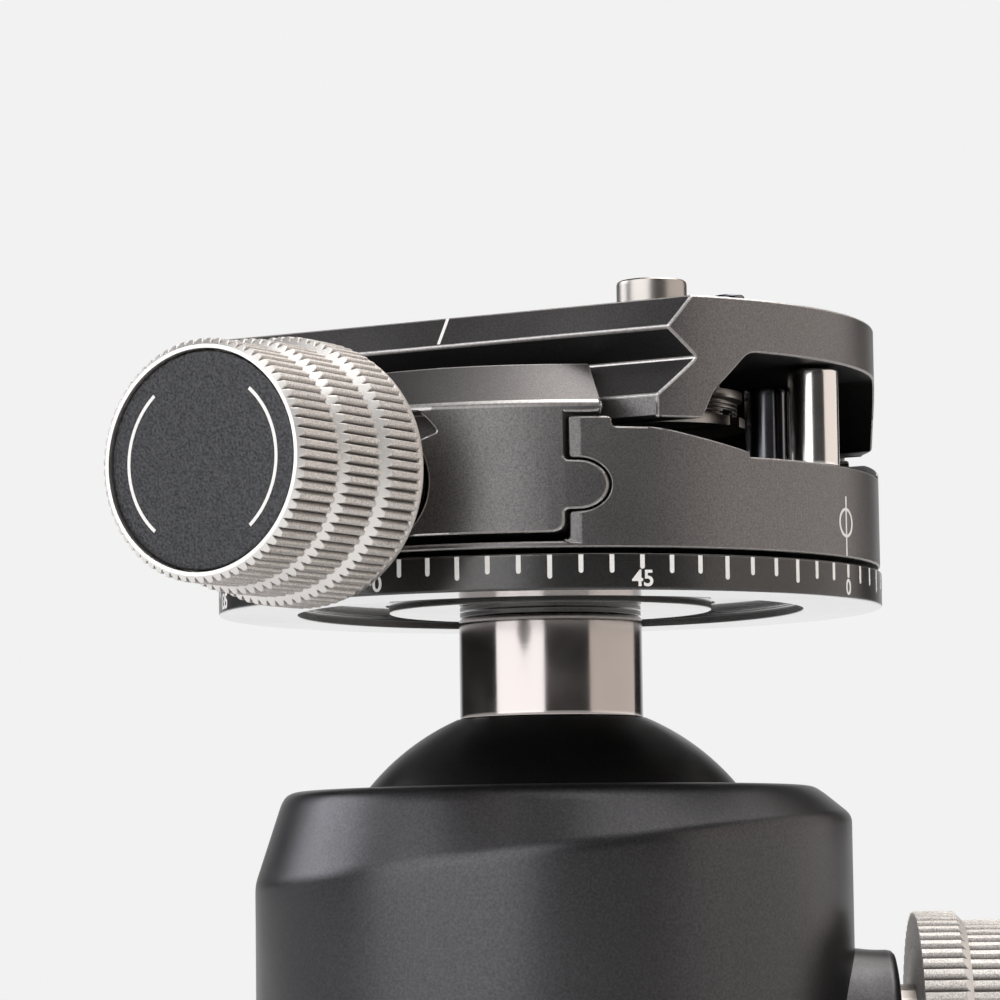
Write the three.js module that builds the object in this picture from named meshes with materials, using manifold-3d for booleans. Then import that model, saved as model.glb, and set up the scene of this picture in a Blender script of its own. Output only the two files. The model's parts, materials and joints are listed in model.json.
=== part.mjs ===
// Ball head with a panning quick-release clamp and a round camera plate.
// Millimetres, +Z up. The origin is the centre of the base's underside, on the tripod screw's axis.
// The clamp knob points to -Y and the pan scale's zero mark to +X.
import * as THREE from 'three';
import { mergeVertices } from 'three/addons/utils/BufferGeometryUtils.js';
import Module from 'manifold-3d';

const wasm = await Module();
wasm.setup();

// Fits shared by all pieces
const restGap = 0.05;        // between faces that rest on each other
const runGap = 0.1;          // radial play of a piece that turns or slides
const clearGap = 0.3;        // around a piece that is let into another
const cutOver = 1;           // how far a cut runs past the surface it opens

// Facets round a full circle
const largeFacets = 56;
const mediumFacets = 32;
const smallFacets = 12;
const shaftFacets = 20;

// Ball, stem and housing
const ballRadius = 21.5;
const stemRadius = 8.3;
const stemLength = 29.3;     // from the ball's centre to the scale ring's bottom edge
const boreGap = 1.75;        // room between the ball and the housing's bore
const wallThickness = 3.65;
const topInset = 2.55;       // how far the top edge of the shoulder stands in from the wall
const topRound = 1.1;
const mouthRadiusShare = 0.8047; // of the ball's radius
const mouthHeightShare = 0.6233; // housing's top above the ball's centre, of the ball's radius
const shoulderMean = 5.5;    // depth of the sloping shoulder, which falls away from the lock
const shoulderSwing = 2.8;
const edgeChamfer = 0.4;
const ballPlay = 0.25;
const linerGrooveAngle = 60; // degrees from the vertical
const linerStartAngle = 61.5;
const linerEndAngle = 80;
const cupClearAngle = 90;   // above this the housing's bore is a sphere round the ball

// Base
const discThickness = 8;
const padThickness = 1.2;
const padInset = 3.4;        // from the base's edge
const padWidth = 10.5;
const bushRadius = 7;
const bushDepth = 10;
const bushEnd = 0.7;         // thickness of the bush's closed end
const socketRadius = 4.76;   // three-eighths inch tripod thread
const hubWall = 3.8;         // between the bush and the hub's outside
const hubRise = 0.4;         // how far the hub stands above the housing's floor plate
const bearingThickness = 1.2;
const bearingWidth = 8.5;
const bearingInset = 1.7;    // inside the hub's wall
const floorThickness = 6.2;
const retainerOverhang = 3.2; // beyond the hub
const retainerThickness = 1.6;
const retainerScrewRadius = 2.4;
const retainerHeadRadius = 4.5;
const retainerHeadHeight = 2.6;
const retainerScrewLength = 4.7;

// Ball cup and its spring
const cupTopAngle = 110;     // degrees from the vertical
const cupEndAngle = 145;
const cupHeight = 12.6;
const cupWall = 8.4;         // at the foot
const cupGrooveTop = 1.76;
const cupGrooveDepth = 1.5;
const cupGrooveFlat = 1.4;
const cupGrooveHeight = 3.6;
const cupSpringWire = 1.6;
const cupSpringLength = 11.161;
const cupSpringCurls = 3;

// Main lock
const lockAzimuth = 30;      // degrees from +X towards +Y
const lockDrop = 11;         // lock's axis below the ball's centre
const lockBossRadius = 9.6;
const lockBossLength = 3.6;  // beyond the housing's wall
const lockBossRound = 0.8;
const plungerTipDepth = 1.2; // how far the tip reaches into the cup's groove
const plungerTipRadius = 0.4;
const plungerNeckRadius = 1.15;
const plungerShoulder = 0.6;
const plungerTravel = 0.8;
const plungerThreadRadius = 2;
const plungerThreadSeat = 1.3; // from the neck to the end of the thread's bore
const plungerThreadLength = 2.6;
const lockScrewRadius = 4;
const lockCollarRadius = 6.5;
const lockCollarLength = 1.6;
const lockKnobRadius = 13;
const lockKnobLength = 13;
const lockKnobStep = 0.8;
const lockKnobFlutePitch = 2.6;
const lockKnobFluteDepth = 0.4;
const lockFaceRadius = 9.6;
const lockFaceDepth = 1.3;
const dialRadius = 5;
const dialHeight = 2.2;
const dialStemRadius = 1.9;
const dialStemLength = 7;
const dialFlutes = 12;
const dialFluteDepth = 0.5;

// Base pan lock
const baseLockAzimuth = 150;
const baseLockRadius = 2;
const baseLockKnobRadius = 6.8;
const baseLockKnobGap = 1.1; // between the housing's wall and the knob
const baseLockKnobLength = 9;

// Dovetail of the camera plate: half its width, and the other places counted from it
const railU = 19.8;
const railHeight = 1.95;
const railWidth = 3.3;
const grooveDepth = 2.9;
const grooveRise = 3.25;     // from the rail's upper edge to the bottom of the groove
const edgeInset = 0.75;
const edgeRise = 2.5;
const bevelRun = 1.85;
const bevelRise = 2.8;
const kneeInset = 1;
const kneeRise = 2.4;
const archRun = 3.2;
const archRise = 3.5;

// Clamp body
const jawWall = 10.1;        // from the plate's rail to the clamp's outside
const clampHeight = 7.96;    // from its underside to the channel's floor
const railSeat = 3.1;        // height of the plate's rails above the channel's floor
const pocketFloorThickness = 0.56;
const pocketBack = 15.5;
const wingStepInset = 7.15;  // from the clamp's outside, seen along the plate
const wingStepHeight = 0.86;
const channelHalfWidth = 12.6;
const channelEdgeHeight = 0.45;
const panBoreGap = 0.1;
const panShelfHeight = 2.56;
const panCounterPlay = 0.3;
const threadBossHalfWidth = 6.2;
const threadBossHeight = 2.5;
const threadBossEnd = 0.7;

// Pan scale ring and top pan
const ringOverhang = 0.1;    // beyond the clamp
const ringHeight = 3.08;
const ringBand = 7.1;        // width of the flat ring outside the recess
const ringRecessDepth = 0.9;
const ringHubRadius = 14.6;
const ringHubRise = 0.1;     // hub's face above the ring's bottom edge
const ringNeckDrop = 0.4;    // the neck on which the stem's shoulder rests
const ringNeckInset = 0.1;
const ringEdge = 0.25;
const panGap = 0.46;         // seen between the ring and the clamp
const spigotRadius = 5;
const spigotProud = 0.1;     // beyond the clamp's shelf
const bushingWall = 1.8;
const panWasherPlay = 2;
const panWasherInset = 8;
const panDiscOverhang = 1.6; // of the retaining disc beyond the bore
const panDiscThickness = 1.75;
const panScrewRadius = 2.5;
const panScrewHeadRadius = 4.5;
const panScrewHeadHeight = 2.5;
const panScrewReach = 8;     // below the scale ring's bottom edge

// Jaws
const jawLift = 0.74;        // of the jaw's underside above the pocket's floor
const jawHalfWidth = 16;
const jawCorner = 0.9;
const lipHalfAngle = 38.7;   // degrees each way from the jaw's middle
const lipEdgeRise = 1.2;     // where the sloping face leaves the clamp's cylinder, above the rail's underside
const lipTopRise = 5.17;
const lipSlopeRun = 5.9;
const lipOverlap = 2.05;     // how far the lip's nose reaches over the rail
const lipRise = 0.35;        // of the lip's underside above the rail's
const tongueRise = 4.02;     // of the tongues' middle above the jaw's underside
const tongueHalfHeight = 2.06;
const tongueLength = 3.05;
const spotRadius = 7.45;
const spotDepth = 2.2;

// Clamp knob and its spindle, from the clamp outwards
const knobAxisRise = 4.61;   // above the jaw's underside
const knobStandOff = 9;      // from the clamp's outside to the knob's back
const knobFlutePitch = 3.4;
const knobFluteDepth = 0.3;
const knobBackRadius = 11;
const knobMiddleRadius = 10.3;
const knobFrontRadius = 9.75;
const knobBackLength = 4.25;
const knobMiddleLength = 4.3;
const knobFrontLength = 4.85;
const knobBackGroove = 0.65;
const knobFrontGroove = 0.9;
const knobRimLength = 0.45;
const knobRimInset = 0.4;
const knobBevel = 0.35;
const knobCapInset = 0.55;
const knobCapPlay = 0.15;
const knobCapSink = 0.3;
const knobCapThickness = 1.2;
const knobCollarInset = 0.15;
const knobCollarThickness = 0.85;
const knobPocketRadius = 6.7;
const knobPocketDepth = 7.2;
const knobBoreDepth = 6.2;
const spindleRadius = 3;
const spindleTipGap = 1.1;   // from the clamp's central bore to the spindle's tip
const spindleCollarRadius = 4.8;
const spindleCollarLength = 4.6;
const spindleCollarSink = 1; // into the jaw's spot face
const spindleFlangeRadius = 6.6;
const spindleFlangeThickness = 0.8;
const spindleFlangeSeat = 1.1;
const spindleNeckRadius = 5.3;
const spindleDriveRadius = 2.8;
const spindleDriveLength = 10.4;
const knobSpringWire = 0.8;
const knobSpringRadius = 5.6;
const knobSpringCurls = 4;

// Jaw springs
const jawSpringX = 11;
const jawSpringRadius = 1.7;
const jawSpringWire = 0.6;
const jawSpringCurls = 6;
const jawSpringBody = 3.4;   // depth of the spring's bore in the body
const jawSpringJaw = 7;      // and in the jaw

// Camera plate
const plateInset = 0.2;      // inside the clamp's outside
const plateEdgeChamfer = 0.5;
const padRecess = 0.7;
const padProud = 0.3;
const plateRim = 3.2;        // around the pad
const padSideInset = 3.7;
const padHoleHalfWidth = 5.2;
const padHoleLeft = 16.2;
const padHoleRight = 21.8;

// Camera screw and its stud
const cameraScrewX = 11;
const cameraScrewRadius = 3.175; // quarter inch camera thread
const cameraScrewReach = 4.35;   // above the plate
const cameraScrewTipChamfer = 0.6;
const screwHeadHeight = 3.3;
const screwFlangeRadius = 7.95;
const screwFlangeThickness = 0.75;
const screwBarrelInset = 0.45;
const screwGrooveDepth = 0.3;
const screwGrooves = 3;
const screwFootRadius = 8.2;
const screwFootThickness = 0.9;
const screwHeadSink = 1.4;   // from the arch's ceiling to the head
const coinSlotWidth = 1.8;
const coinSlotDepth = 1.6;
const screwWasherRadius = 6;
const studX = 18.8;
const studRadius = 1.4;
const studReach = 2.4;       // above the plate
const studDepth = 2.7;

// Stop posts and safety pins
const postInset = 3;         // from the clamp's outside
const postRadius = 2.25;
const postShankRadius = 1.6;
const postShankDepth = 5;
const safetyPinInset = 7.7;  // from the clamp's outside
const safetyPinRadius = 1.8;
const safetyPinHeight = 7.4; // above the channel's floor
const safetyPinSink = 2.2;   // of its foot below the channel's floor
const safetyFlangeRadius = 2.3;
const safetyFlangeThickness = 0.8;
const safetyBushRadius = 2.9;
const safetyBushThickness = 1.2;
const safetySpringLength = 4.8;
const safetyPinWire = 0.45;
const safetyPinSpringRadius = 1.7;
const safetyPinCurls = 3;

// Top pan lock, at the back of the clamp
const panLockRise = 3.66;    // above the clamp's underside
const panLockRadius = 1.6;
const panLockKnobRadius = 5;
const panLockKnobGap = 0.7;
const panLockKnobLength = 8.4;

// Radii of the lower part that follow from the sizes above
const boreRadius = ballRadius + boreGap;
const wallRadius = boreRadius + wallThickness;
const topRadius = wallRadius - topInset;
const mouthRadius = ballRadius * mouthRadiusShare;
const mouthHeight = ballRadius * mouthHeightShare;
const linerOuterRadius = boreRadius - ballPlay;
const cupRadius = boreRadius - ballPlay - runGap;
const cupFootRadius = cupRadius - cupWall;
const cupSpringRadius = (cupRadius + cupFootRadius) / 2;
const discHubRadius = bushRadius + hubWall;
const padOuterRadius = wallRadius - padInset;
const padInnerRadius = padOuterRadius - padWidth;
const socketDepth = bushDepth - bushEnd;
const bearingInnerRadius = discHubRadius + bearingInset;
const bearingOuterRadius = bearingInnerRadius + bearingWidth;
const retainerRadius = discHubRadius + retainerOverhang;

// Its heights, from the base upwards
const housingBottomZ = discThickness + edgeChamfer;
const bearingZ = discThickness + restGap;
const floorZ = bearingZ + bearingThickness + restGap;
const floorTopZ = floorZ + floorThickness;
const discHubTop = floorTopZ + hubRise;
const retainerZ = discHubTop + restGap;
const retainerTopZ = retainerZ + retainerThickness;
const cupBottomZ = floorTopZ + cupSpringLength;
const cupSeatDrop = Math.cos(rad(180 - cupTopAngle)) * (ballRadius + ballPlay);
const ballCentreZ = cupBottomZ + cupHeight + cupSeatDrop;
const ringBottomZ = ballCentreZ + stemLength;
const housingTopZ = ballCentreZ + mouthHeight;
const lockZ = ballCentreZ - lockDrop;
const baseLockZ = floorZ + floorThickness / 2;

// Reaches of the locks from the head's axis
const lockBossReach = wallRadius + lockBossLength;
const plungerTipReach = cupRadius - plungerTipDepth;
const plungerNeckReach = cupRadius;
const plungerThreadStart = plungerNeckReach + plungerThreadSeat;
const plungerEnd = plungerThreadStart + plungerThreadLength;
const baseLockKnobReach = wallRadius + baseLockKnobGap;

// Radii and widths of the upper part
const clampRadius = railU + jawWall;
const plateRadius = clampRadius - plateInset;
const ringRadius = clampRadius + ringOverhang;
const ringRecessRadius = ringRadius - ringBand;
const ringNeckRadius = stemRadius - ringNeckInset;
const bushingRadius = spigotRadius + runGap + bushingWall;
const panBoreRadius = bushingRadius + panBoreGap;
const panDiscRadius = panBoreRadius + panDiscOverhang;
const panCounterRadius = panDiscRadius + panCounterPlay;
const panWasherInnerRadius = panBoreRadius + panWasherPlay;
const panWasherOuterRadius = ringRadius - panWasherInset;
const threadEnd = panCounterRadius + threadBossEnd;
const pocketHalfWidth = jawHalfWidth + clearGap;
const tongueReach = jawHalfWidth + tongueLength;
const grooveU = railU - grooveDepth;
const plateEdgeU = railU - edgeInset;
const plateTopU = plateEdgeU - bevelRun;
const railInnerU = railU - railWidth;
const railKneeU = railInnerU - kneeInset;
const archU = railKneeU - archRun;
const lipTipU = railU - lipOverlap;
const lipTopRadius = clampRadius - lipSlopeRun;
const wingStepU = clampRadius - wingStepInset;
const padHalfWidth = plateTopU - padSideInset;
const padRadius = plateRadius - plateRim;
const postX = clampRadius - postInset;
const safetyPinX = clampRadius - safetyPinInset;
const screwBarrelRadius = screwFlangeRadius - screwBarrelInset;

// Its heights above the scale ring's bottom edge
const clampBottom = ringHeight + panGap;
const panShelf = clampBottom + panShelfHeight;
const spigotTop = panShelf + spigotProud;
const clampFloor = clampBottom + clampHeight;
const pocketFloor = clampBottom + pocketFloorThickness;
const threadBossTop = clampFloor + threadBossHeight;
const railBottomZ = clampFloor + railSeat;
const railTopZ = railBottomZ + railHeight;
const grooveZ = railTopZ + grooveRise;
const plateEdgeZ = grooveZ + edgeRise;
const plateTop = plateEdgeZ + bevelRise;
const railKneeZ = railBottomZ + kneeRise;
const archZ = railKneeZ + archRise;
const wingTop = railBottomZ;
const wingStepZ = wingTop - wingStepHeight;
const jawBottom = pocketFloor + jawLift;
const lipBottom = railBottomZ + lipRise;
const lipEdgeZ = railBottomZ + lipEdgeRise;
const lipTopZ = railBottomZ + lipTopRise;
const tongueZ = jawBottom + tongueRise;
const knobAxisZ = jawBottom + knobAxisRise;
const screwFlangeTop = archZ - screwHeadSink;
const screwBottom = screwFlangeTop - screwHeadHeight;
const cameraScrewTop = plateTop + cameraScrewReach;
const studTop = plateTop + studReach;
const studFoot = plateTop - studDepth;
const safetyPinTop = clampFloor + safetyPinHeight;
const safetyPinFoot = clampFloor - safetyPinSink;
const safetyPinBore = safetyPinFoot - safetySpringLength - 2 * restGap;
const panLockZ = clampBottom + panLockRise;

// Places along the clamp knob's axis, from the clamp's axis outwards
const knobBackY = clampRadius + knobStandOff;
const knobBandStart = knobBackY + knobCollarThickness + restGap;
const knobBackEnd = knobBandStart + knobBackLength;
const knobMiddleStart = knobBackEnd + knobBackGroove;
const knobMiddleEnd = knobMiddleStart + knobMiddleLength;
const knobFrontStart = knobMiddleEnd + knobFrontGroove;
const knobFrontEnd = knobFrontStart + knobFrontLength;
const knobFaceY = knobFrontEnd + knobRimLength;
const knobRimRadius = knobFrontRadius - knobRimInset;
const knobCapRadius = knobRimRadius - knobCapInset;
const knobCollarRadius = knobBackRadius - knobCollarInset;
const spindleTip = panCounterRadius + spindleTipGap;
const spindleCollarStart = clampRadius - spindleCollarSink;
const spindleNeckStart = spindleCollarStart + spindleCollarLength;
const spindleFlangeStart = knobBackY + spindleFlangeSeat;
const spindleFlangeEnd = spindleFlangeStart + spindleFlangeThickness;
const knobPocketEnd = knobBandStart + knobPocketDepth;
const knobBoreEnd = knobPocketEnd + knobBoreDepth;
const spindleEnd = spindleFlangeEnd + spindleDriveLength;
const panLockKnobReach = clampRadius + panLockKnobGap;

function rad(degrees) {
  return THREE.MathUtils.degToRad(degrees);
}

// Height of a line parallel to the plate's lower groove flank, at a distance gap outside it
function flankOffset(u, gap) {
  const run = railU - grooveU;
  const fall = grooveZ - railTopZ;
  const length = Math.hypot(run, fall);
  return grooveZ - (u - grooveU) * fall / run + gap * length / run;
}

// Welds a geometry's vertices, drops collapsed triangles and turns all faces outwards
function weld(geometry) {
  const bare = geometry.index ? geometry.toNonIndexed() : geometry.clone();
  for (const name of Object.keys(bare.attributes)) {
    if (name !== 'position') bare.deleteAttribute(name);
  }
  const merged = mergeVertices(bare, 1e-4);
  const position = merged.attributes.position;
  const index = merged.index.array;
  const kept = [];
  let volume = 0;
  const a = new THREE.Vector3();
  const b = new THREE.Vector3();
  const c = new THREE.Vector3();
  for (let i = 0; i < index.length; i += 3) {
    const [i0, i1, i2] = [index[i], index[i + 1], index[i + 2]];
    if (i0 === i1 || i1 === i2 || i2 === i0) continue;
    a.fromBufferAttribute(position, i0);
    b.fromBufferAttribute(position, i1);
    c.fromBufferAttribute(position, i2);
    volume += a.dot(b.cross(c));
    kept.push(i0, i1, i2);
  }
  if (volume < 0) kept.reverse();
  merged.setIndex(kept);
  return merged;
}

function solid(geometry) {
  const welded = weld(geometry);
  return new wasm.Manifold(new wasm.Mesh({
    numProp: 3,
    vertProperties: new Float32Array(welded.attributes.position.array),
    triVerts: new Uint32Array(welded.index.array),
  }));
}

function shell(manifold) {
  const mesh = manifold.getMesh();
  const geometry = new THREE.BufferGeometry();
  geometry.setAttribute('position', new THREE.BufferAttribute(new Float32Array(mesh.vertProperties), 3));
  geometry.setIndex(new THREE.BufferAttribute(new Uint32Array(mesh.triVerts), 1));
  return geometry;
}

function cut(geometry, ...cutters) {
  return shell(cutters.reduce((left, cutter) => left.subtract(solid(cutter)), solid(geometry)));
}

function join(geometry, ...others) {
  return shell(others.reduce((sum, other) => sum.add(solid(other)), solid(geometry)));
}

function common(geometry, ...others) {
  return shell(others.reduce((rest, other) => rest.intersect(solid(other)), solid(geometry)));
}

// A closed profile of [radius, height] points turned about the Z axis
function turned(points, facets = mediumFacets) {
  const loop = [...points, points[0]].map(([r, z]) => new THREE.Vector2(r, z));
  return new THREE.LatheGeometry(loop, facets).rotateX(Math.PI / 2);
}

function disc(radius, bottom, top, facets = mediumFacets) {
  const geometry = new THREE.CylinderGeometry(radius, radius, top - bottom, facets);
  return geometry.rotateX(Math.PI / 2).translate(0, 0, (bottom + top) / 2);
}

function tubeRing(inner, outer, bottom, top, facets = mediumFacets) {
  return turned([[inner, bottom], [outer, bottom], [outer, top], [inner, top]], facets);
}

// Turns a shape made along +Z so that it points along -Y, with its start on the XZ plane
function alongKnob(geometry) {
  return geometry.rotateX(Math.PI / 2);
}

// Turns a shape made along +Z so that it points along +X
function outward(geometry) {
  return geometry.rotateY(Math.PI / 2);
}

function box(x0, x1, y0, y1, z0, z1) {
  const geometry = new THREE.BoxGeometry(x1 - x0, y1 - y0, z1 - z0);
  return geometry.translate((x0 + x1) / 2, (y0 + y1) / 2, (z0 + z1) / 2);
}

function prism(points, length) {
  const shape = new THREE.Shape(points.map(([x, y]) => new THREE.Vector2(x, y)));
  return new THREE.ExtrudeGeometry(shape, { depth: length, bevelEnabled: false });
}

// An outline of [y, z] points carried along X from one end to the other
function alongX(points, start, end) {
  return prism(points, end - start).applyMatrix4(new THREE.Matrix4().set(
    0, 0, 1, start,
    1, 0, 0, 0,
    0, 1, 0, 0,
    0, 0, 0, 1,
  ));
}

// An outline of [x, z] points carried along Y from one end to the other
function alongY(points, start, end) {
  return prism(points, end - start).applyMatrix4(new THREE.Matrix4().set(
    1, 0, 0, 0,
    0, 0, 1, start,
    0, 1, 0, 0,
    0, 0, 0, 1,
  ));
}

// A slot's outline: two half circles joined by straight sides along X
function slotOutline(left, right, halfWidth, steps = 8) {
  const points = [];
  for (let i = 0; i <= steps; i++) {
    const angle = -Math.PI / 2 + Math.PI * i / steps;
    points.push([right + halfWidth * Math.cos(angle), halfWidth * Math.sin(angle)]);
  }
  for (let i = 0; i <= steps; i++) {
    const angle = Math.PI / 2 + Math.PI * i / steps;
    points.push([left + halfWidth * Math.cos(angle), halfWidth * Math.sin(angle)]);
  }
  return points;
}

// Rings of equally many points joined in order and closed at both ends
function loft(rings) {
  const positions = rings.flat(2);
  const count = rings[0].length;
  const index = [];
  for (let r = 0; r < rings.length - 1; r++) {
    for (let i = 0; i < count; i++) {
      const next = (i + 1) % count;
      const a = r * count + i;
      const b = r * count + next;
      index.push(a, b, b + count, a, b + count, a + count);
    }
  }
  const geometry = new THREE.BufferGeometry();
  const ends = [[0, true], [rings.length - 1, false]];
  for (const [r, first] of ends) {
    const ring = rings[r].map((point) => new THREE.Vector3(...point));
    for (const [i, j, k] of capTriangles(ring)) {
      const at = r * count;
      index.push(...(first ? [at + i, at + k, at + j] : [at + i, at + j, at + k]));
    }
  }
  geometry.setAttribute('position', new THREE.BufferAttribute(new Float32Array(positions), 3));
  geometry.setIndex(index);
  return geometry;
}

// Triangles of a flat ring, wound as the ring is
function capTriangles(ring) {
  const normal = new THREE.Vector3();
  for (let i = 0; i < ring.length; i++) {
    normal.add(ring[i].clone().cross(ring[(i + 1) % ring.length]));
  }
  const turn = new THREE.Quaternion().setFromUnitVectors(normal.normalize(), new THREE.Vector3(0, 0, 1));
  const flat = ring.map((point) => {
    const turnedPoint = point.clone().applyQuaternion(turn);
    return new THREE.Vector2(turnedPoint.x, turnedPoint.y);
  });
  return THREE.ShapeUtils.triangulateShape(flat, []);
}

// One unbroken spring of round wire about Z, with a flat half turn at each end
function coil(meanRadius, wire, bottom, top, curls, steps = 8, sides = 5) {
  const total = curls * steps;
  const low = bottom + wire / 2;
  const rise = top - bottom - wire;
  const rings = [];
  for (let s = 0; s <= total; s++) {
    const angle = 2 * Math.PI * s / steps;
    const share = THREE.MathUtils.clamp((s - steps / 2) / (total - steps), 0, 1);
    const centre = new THREE.Vector3(
      meanRadius * Math.cos(angle),
      meanRadius * Math.sin(angle),
      low + rise * share,
    );
    const out = new THREE.Vector3(Math.cos(angle), Math.sin(angle), 0);
    rings.push(Array.from({ length: sides }, (_, k) => {
      const around = 2 * Math.PI * k / sides;
      return centre.clone()
        .addScaledVector(out, wire / 2 * Math.cos(around))
        .setZ(centre.z + wire / 2 * Math.sin(around))
        .toArray();
    }));
  }
  return loft(rings);
}

// Outline with evenly spaced V flutes, as many as the pitch gives
function flutedOutline(radius, depth, pitch) {
  const count = Math.round(2 * Math.PI * radius / pitch);
  return Array.from({ length: 2 * count }, (_, i) => {
    const angle = Math.PI * i / count;
    const r = i % 2 ? radius - depth : radius;
    return [r * Math.cos(angle), r * Math.sin(angle)];
  });
}

// Points of an arc in the [radius, height] plane, angles in degrees from the vertical
function sphereArc(radius, centre, from, to, steps) {
  return Array.from({ length: steps + 1 }, (_, i) => {
    const angle = rad(from + (to - from) * i / steps);
    return [radius * Math.sin(angle), centre + radius * Math.cos(angle)];
  });
}

const finishes = {
  greyAnodised: { color: '#56524f', roughness: 0.5, metalness: 0.8 },
  blackAnodised: { color: '#1b1a1a', roughness: 0.45, metalness: 0.6 },
  satinBlack: { color: '#232222', roughness: 0.5, metalness: 0.4 },
  silver: { color: '#b9b2ab', roughness: 0.45, metalness: 0.9 },
  steel: { color: '#8f8a86', roughness: 0.2, metalness: 1 },
  blackSteel: { color: '#17171a', roughness: 0.35, metalness: 0.8 },
  brass: { color: '#b08d4a', roughness: 0.35, metalness: 1 },
  polymer: { color: '#d9d5cc', roughness: 0.5, metalness: 0 },
  rubber: { color: '#1c1c1c', roughness: 0.9, metalness: 0 },
};
const materials = Object.fromEntries(
  Object.entries(finishes).map(([name, finish]) => [name, new THREE.MeshStandardMaterial(finish)]),
);

const head = new THREE.Group();
const upper = new THREE.Group();
upper.position.z = ringBottomZ;
const lock = new THREE.Group();
lock.position.z = lockZ;
lock.rotation.z = rad(lockAzimuth);
const baseLock = new THREE.Group();
baseLock.position.z = baseLockZ;
baseLock.rotation.z = rad(baseLockAzimuth);
head.add(upper, lock, baseLock);

function add(group, name, geometry, finish) {
  const mesh = new THREE.Mesh(weld(geometry), materials[finish]);
  mesh.name = name;
  group.add(mesh);
}

// Base: disc, underside pad, tripod bush and the retainer that holds the housing down
function baseDisc() {
  const body = turned([
    [0, 0],
    [wallRadius - edgeChamfer, 0],
    [wallRadius, edgeChamfer],
    [wallRadius, discThickness - edgeChamfer],
    [wallRadius - edgeChamfer, discThickness],
    [discHubRadius, discThickness],
    [discHubRadius, discHubTop],
    [0, discHubTop],
  ], largeFacets);
  const screwFoot = discHubTop - retainerScrewLength - clearGap;
  return cut(
    body,
    tubeRing(padInnerRadius - clearGap, padOuterRadius + clearGap, -cutOver, padThickness + restGap),
    disc(bushRadius + runGap, -cutOver, bushDepth + restGap, mediumFacets),
    disc(retainerScrewRadius + runGap, screwFoot, discHubTop + cutOver, smallFacets),
  );
}

function tripodBush() {
  return cut(
    disc(bushRadius, 0, bushDepth, mediumFacets),
    disc(socketRadius, -cutOver, socketDepth, smallFacets),
  );
}

add(head, 'base_disc', baseDisc(), 'blackAnodised');
add(head, 'base_pad', tubeRing(padInnerRadius, padOuterRadius, 0, padThickness), 'rubber');
add(head, 'tripod_bush', tripodBush(), 'steel');
add(head, 'base_retainer', cut(
  disc(retainerRadius, retainerZ, retainerTopZ),
  disc(retainerScrewRadius + runGap, retainerZ - cutOver, retainerTopZ + cutOver, smallFacets),
), 'steel');
add(head, 'base_retainer_screw', join(
  disc(retainerHeadRadius, retainerTopZ + restGap, retainerTopZ + restGap + retainerHeadHeight, smallFacets),
  disc(retainerScrewRadius, discHubTop - retainerScrewLength, retainerTopZ + retainerHeadHeight, smallFacets),
), 'steel');

// Housing: a cylinder whose sloping shoulder is deepest opposite the lock
function housingOuter() {
  const tiers = [
    () => [wallRadius - edgeChamfer, housingBottomZ],
    () => [wallRadius, housingBottomZ + edgeChamfer],
    (fall) => [wallRadius, housingTopZ - fall],
    () => [topRadius, housingTopZ - topRound],
    () => [topRadius - topRound / 4, housingTopZ - topRound / 2],
    () => [topRadius - topRound, housingTopZ],
  ];
  return loft(tiers.map((tier) => Array.from({ length: largeFacets }, (_, i) => {
    const angle = 2 * Math.PI * i / largeFacets;
    const fall = shoulderMean - shoulderSwing * Math.cos(angle - rad(lockAzimuth));
    const [r, z] = tier(fall);
    return [r * Math.cos(angle), r * Math.sin(angle), z];
  })));
}

function housing() {
  const lip = sphereArc(ballRadius + clearGap, ballCentreZ, linerGrooveAngle, 0, 1)[0];
  const cavity = turned([
    [0, housingBottomZ - cutOver],
    [boreRadius, housingBottomZ - cutOver],
    ...sphereArc(boreRadius, ballCentreZ, cupClearAngle, linerGrooveAngle, 3),
    lip,
    [mouthRadius, housingTopZ],
    [mouthRadius, housingTopZ + cutOver],
    [0, housingTopZ + cutOver],
  ], largeFacets);
  const boss = outward(turned([
    [0, ballRadius],
    [lockBossRadius, ballRadius],
    [lockBossRadius, lockBossReach - lockBossRound],
    [lockBossRadius - lockBossRound, lockBossReach],
    [0, lockBossReach],
  ])).rotateZ(rad(lockAzimuth)).translate(0, 0, lockZ);
  const lockBore = outward(disc(lockScrewRadius + runGap, 0, lockBossReach + cutOver, shaftFacets))
    .rotateZ(rad(lockAzimuth)).translate(0, 0, lockZ);
  const baseLockBore = outward(disc(baseLockRadius + runGap, 0, wallRadius + cutOver, shaftFacets))
    .rotateZ(rad(baseLockAzimuth)).translate(0, 0, baseLockZ);
  return cut(join(housingOuter(), boss), cavity, lockBore, baseLockBore);
}

function housingFloor() {
  const plug = tubeRing(discHubRadius + clearGap, boreRadius - runGap, floorZ, floorTopZ);
  const bore = outward(disc(baseLockRadius + runGap, 0, wallRadius, shaftFacets))
    .rotateZ(rad(baseLockAzimuth)).translate(0, 0, baseLockZ);
  return cut(plug, bore);
}

add(head, 'housing', housing(), 'satinBlack');
add(head, 'housing_floor', housingFloor(), 'steel');
add(head, 'base_bearing', tubeRing(
  bearingInnerRadius,
  bearingOuterRadius,
  bearingZ,
  bearingZ + bearingThickness,
), 'polymer');

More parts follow.
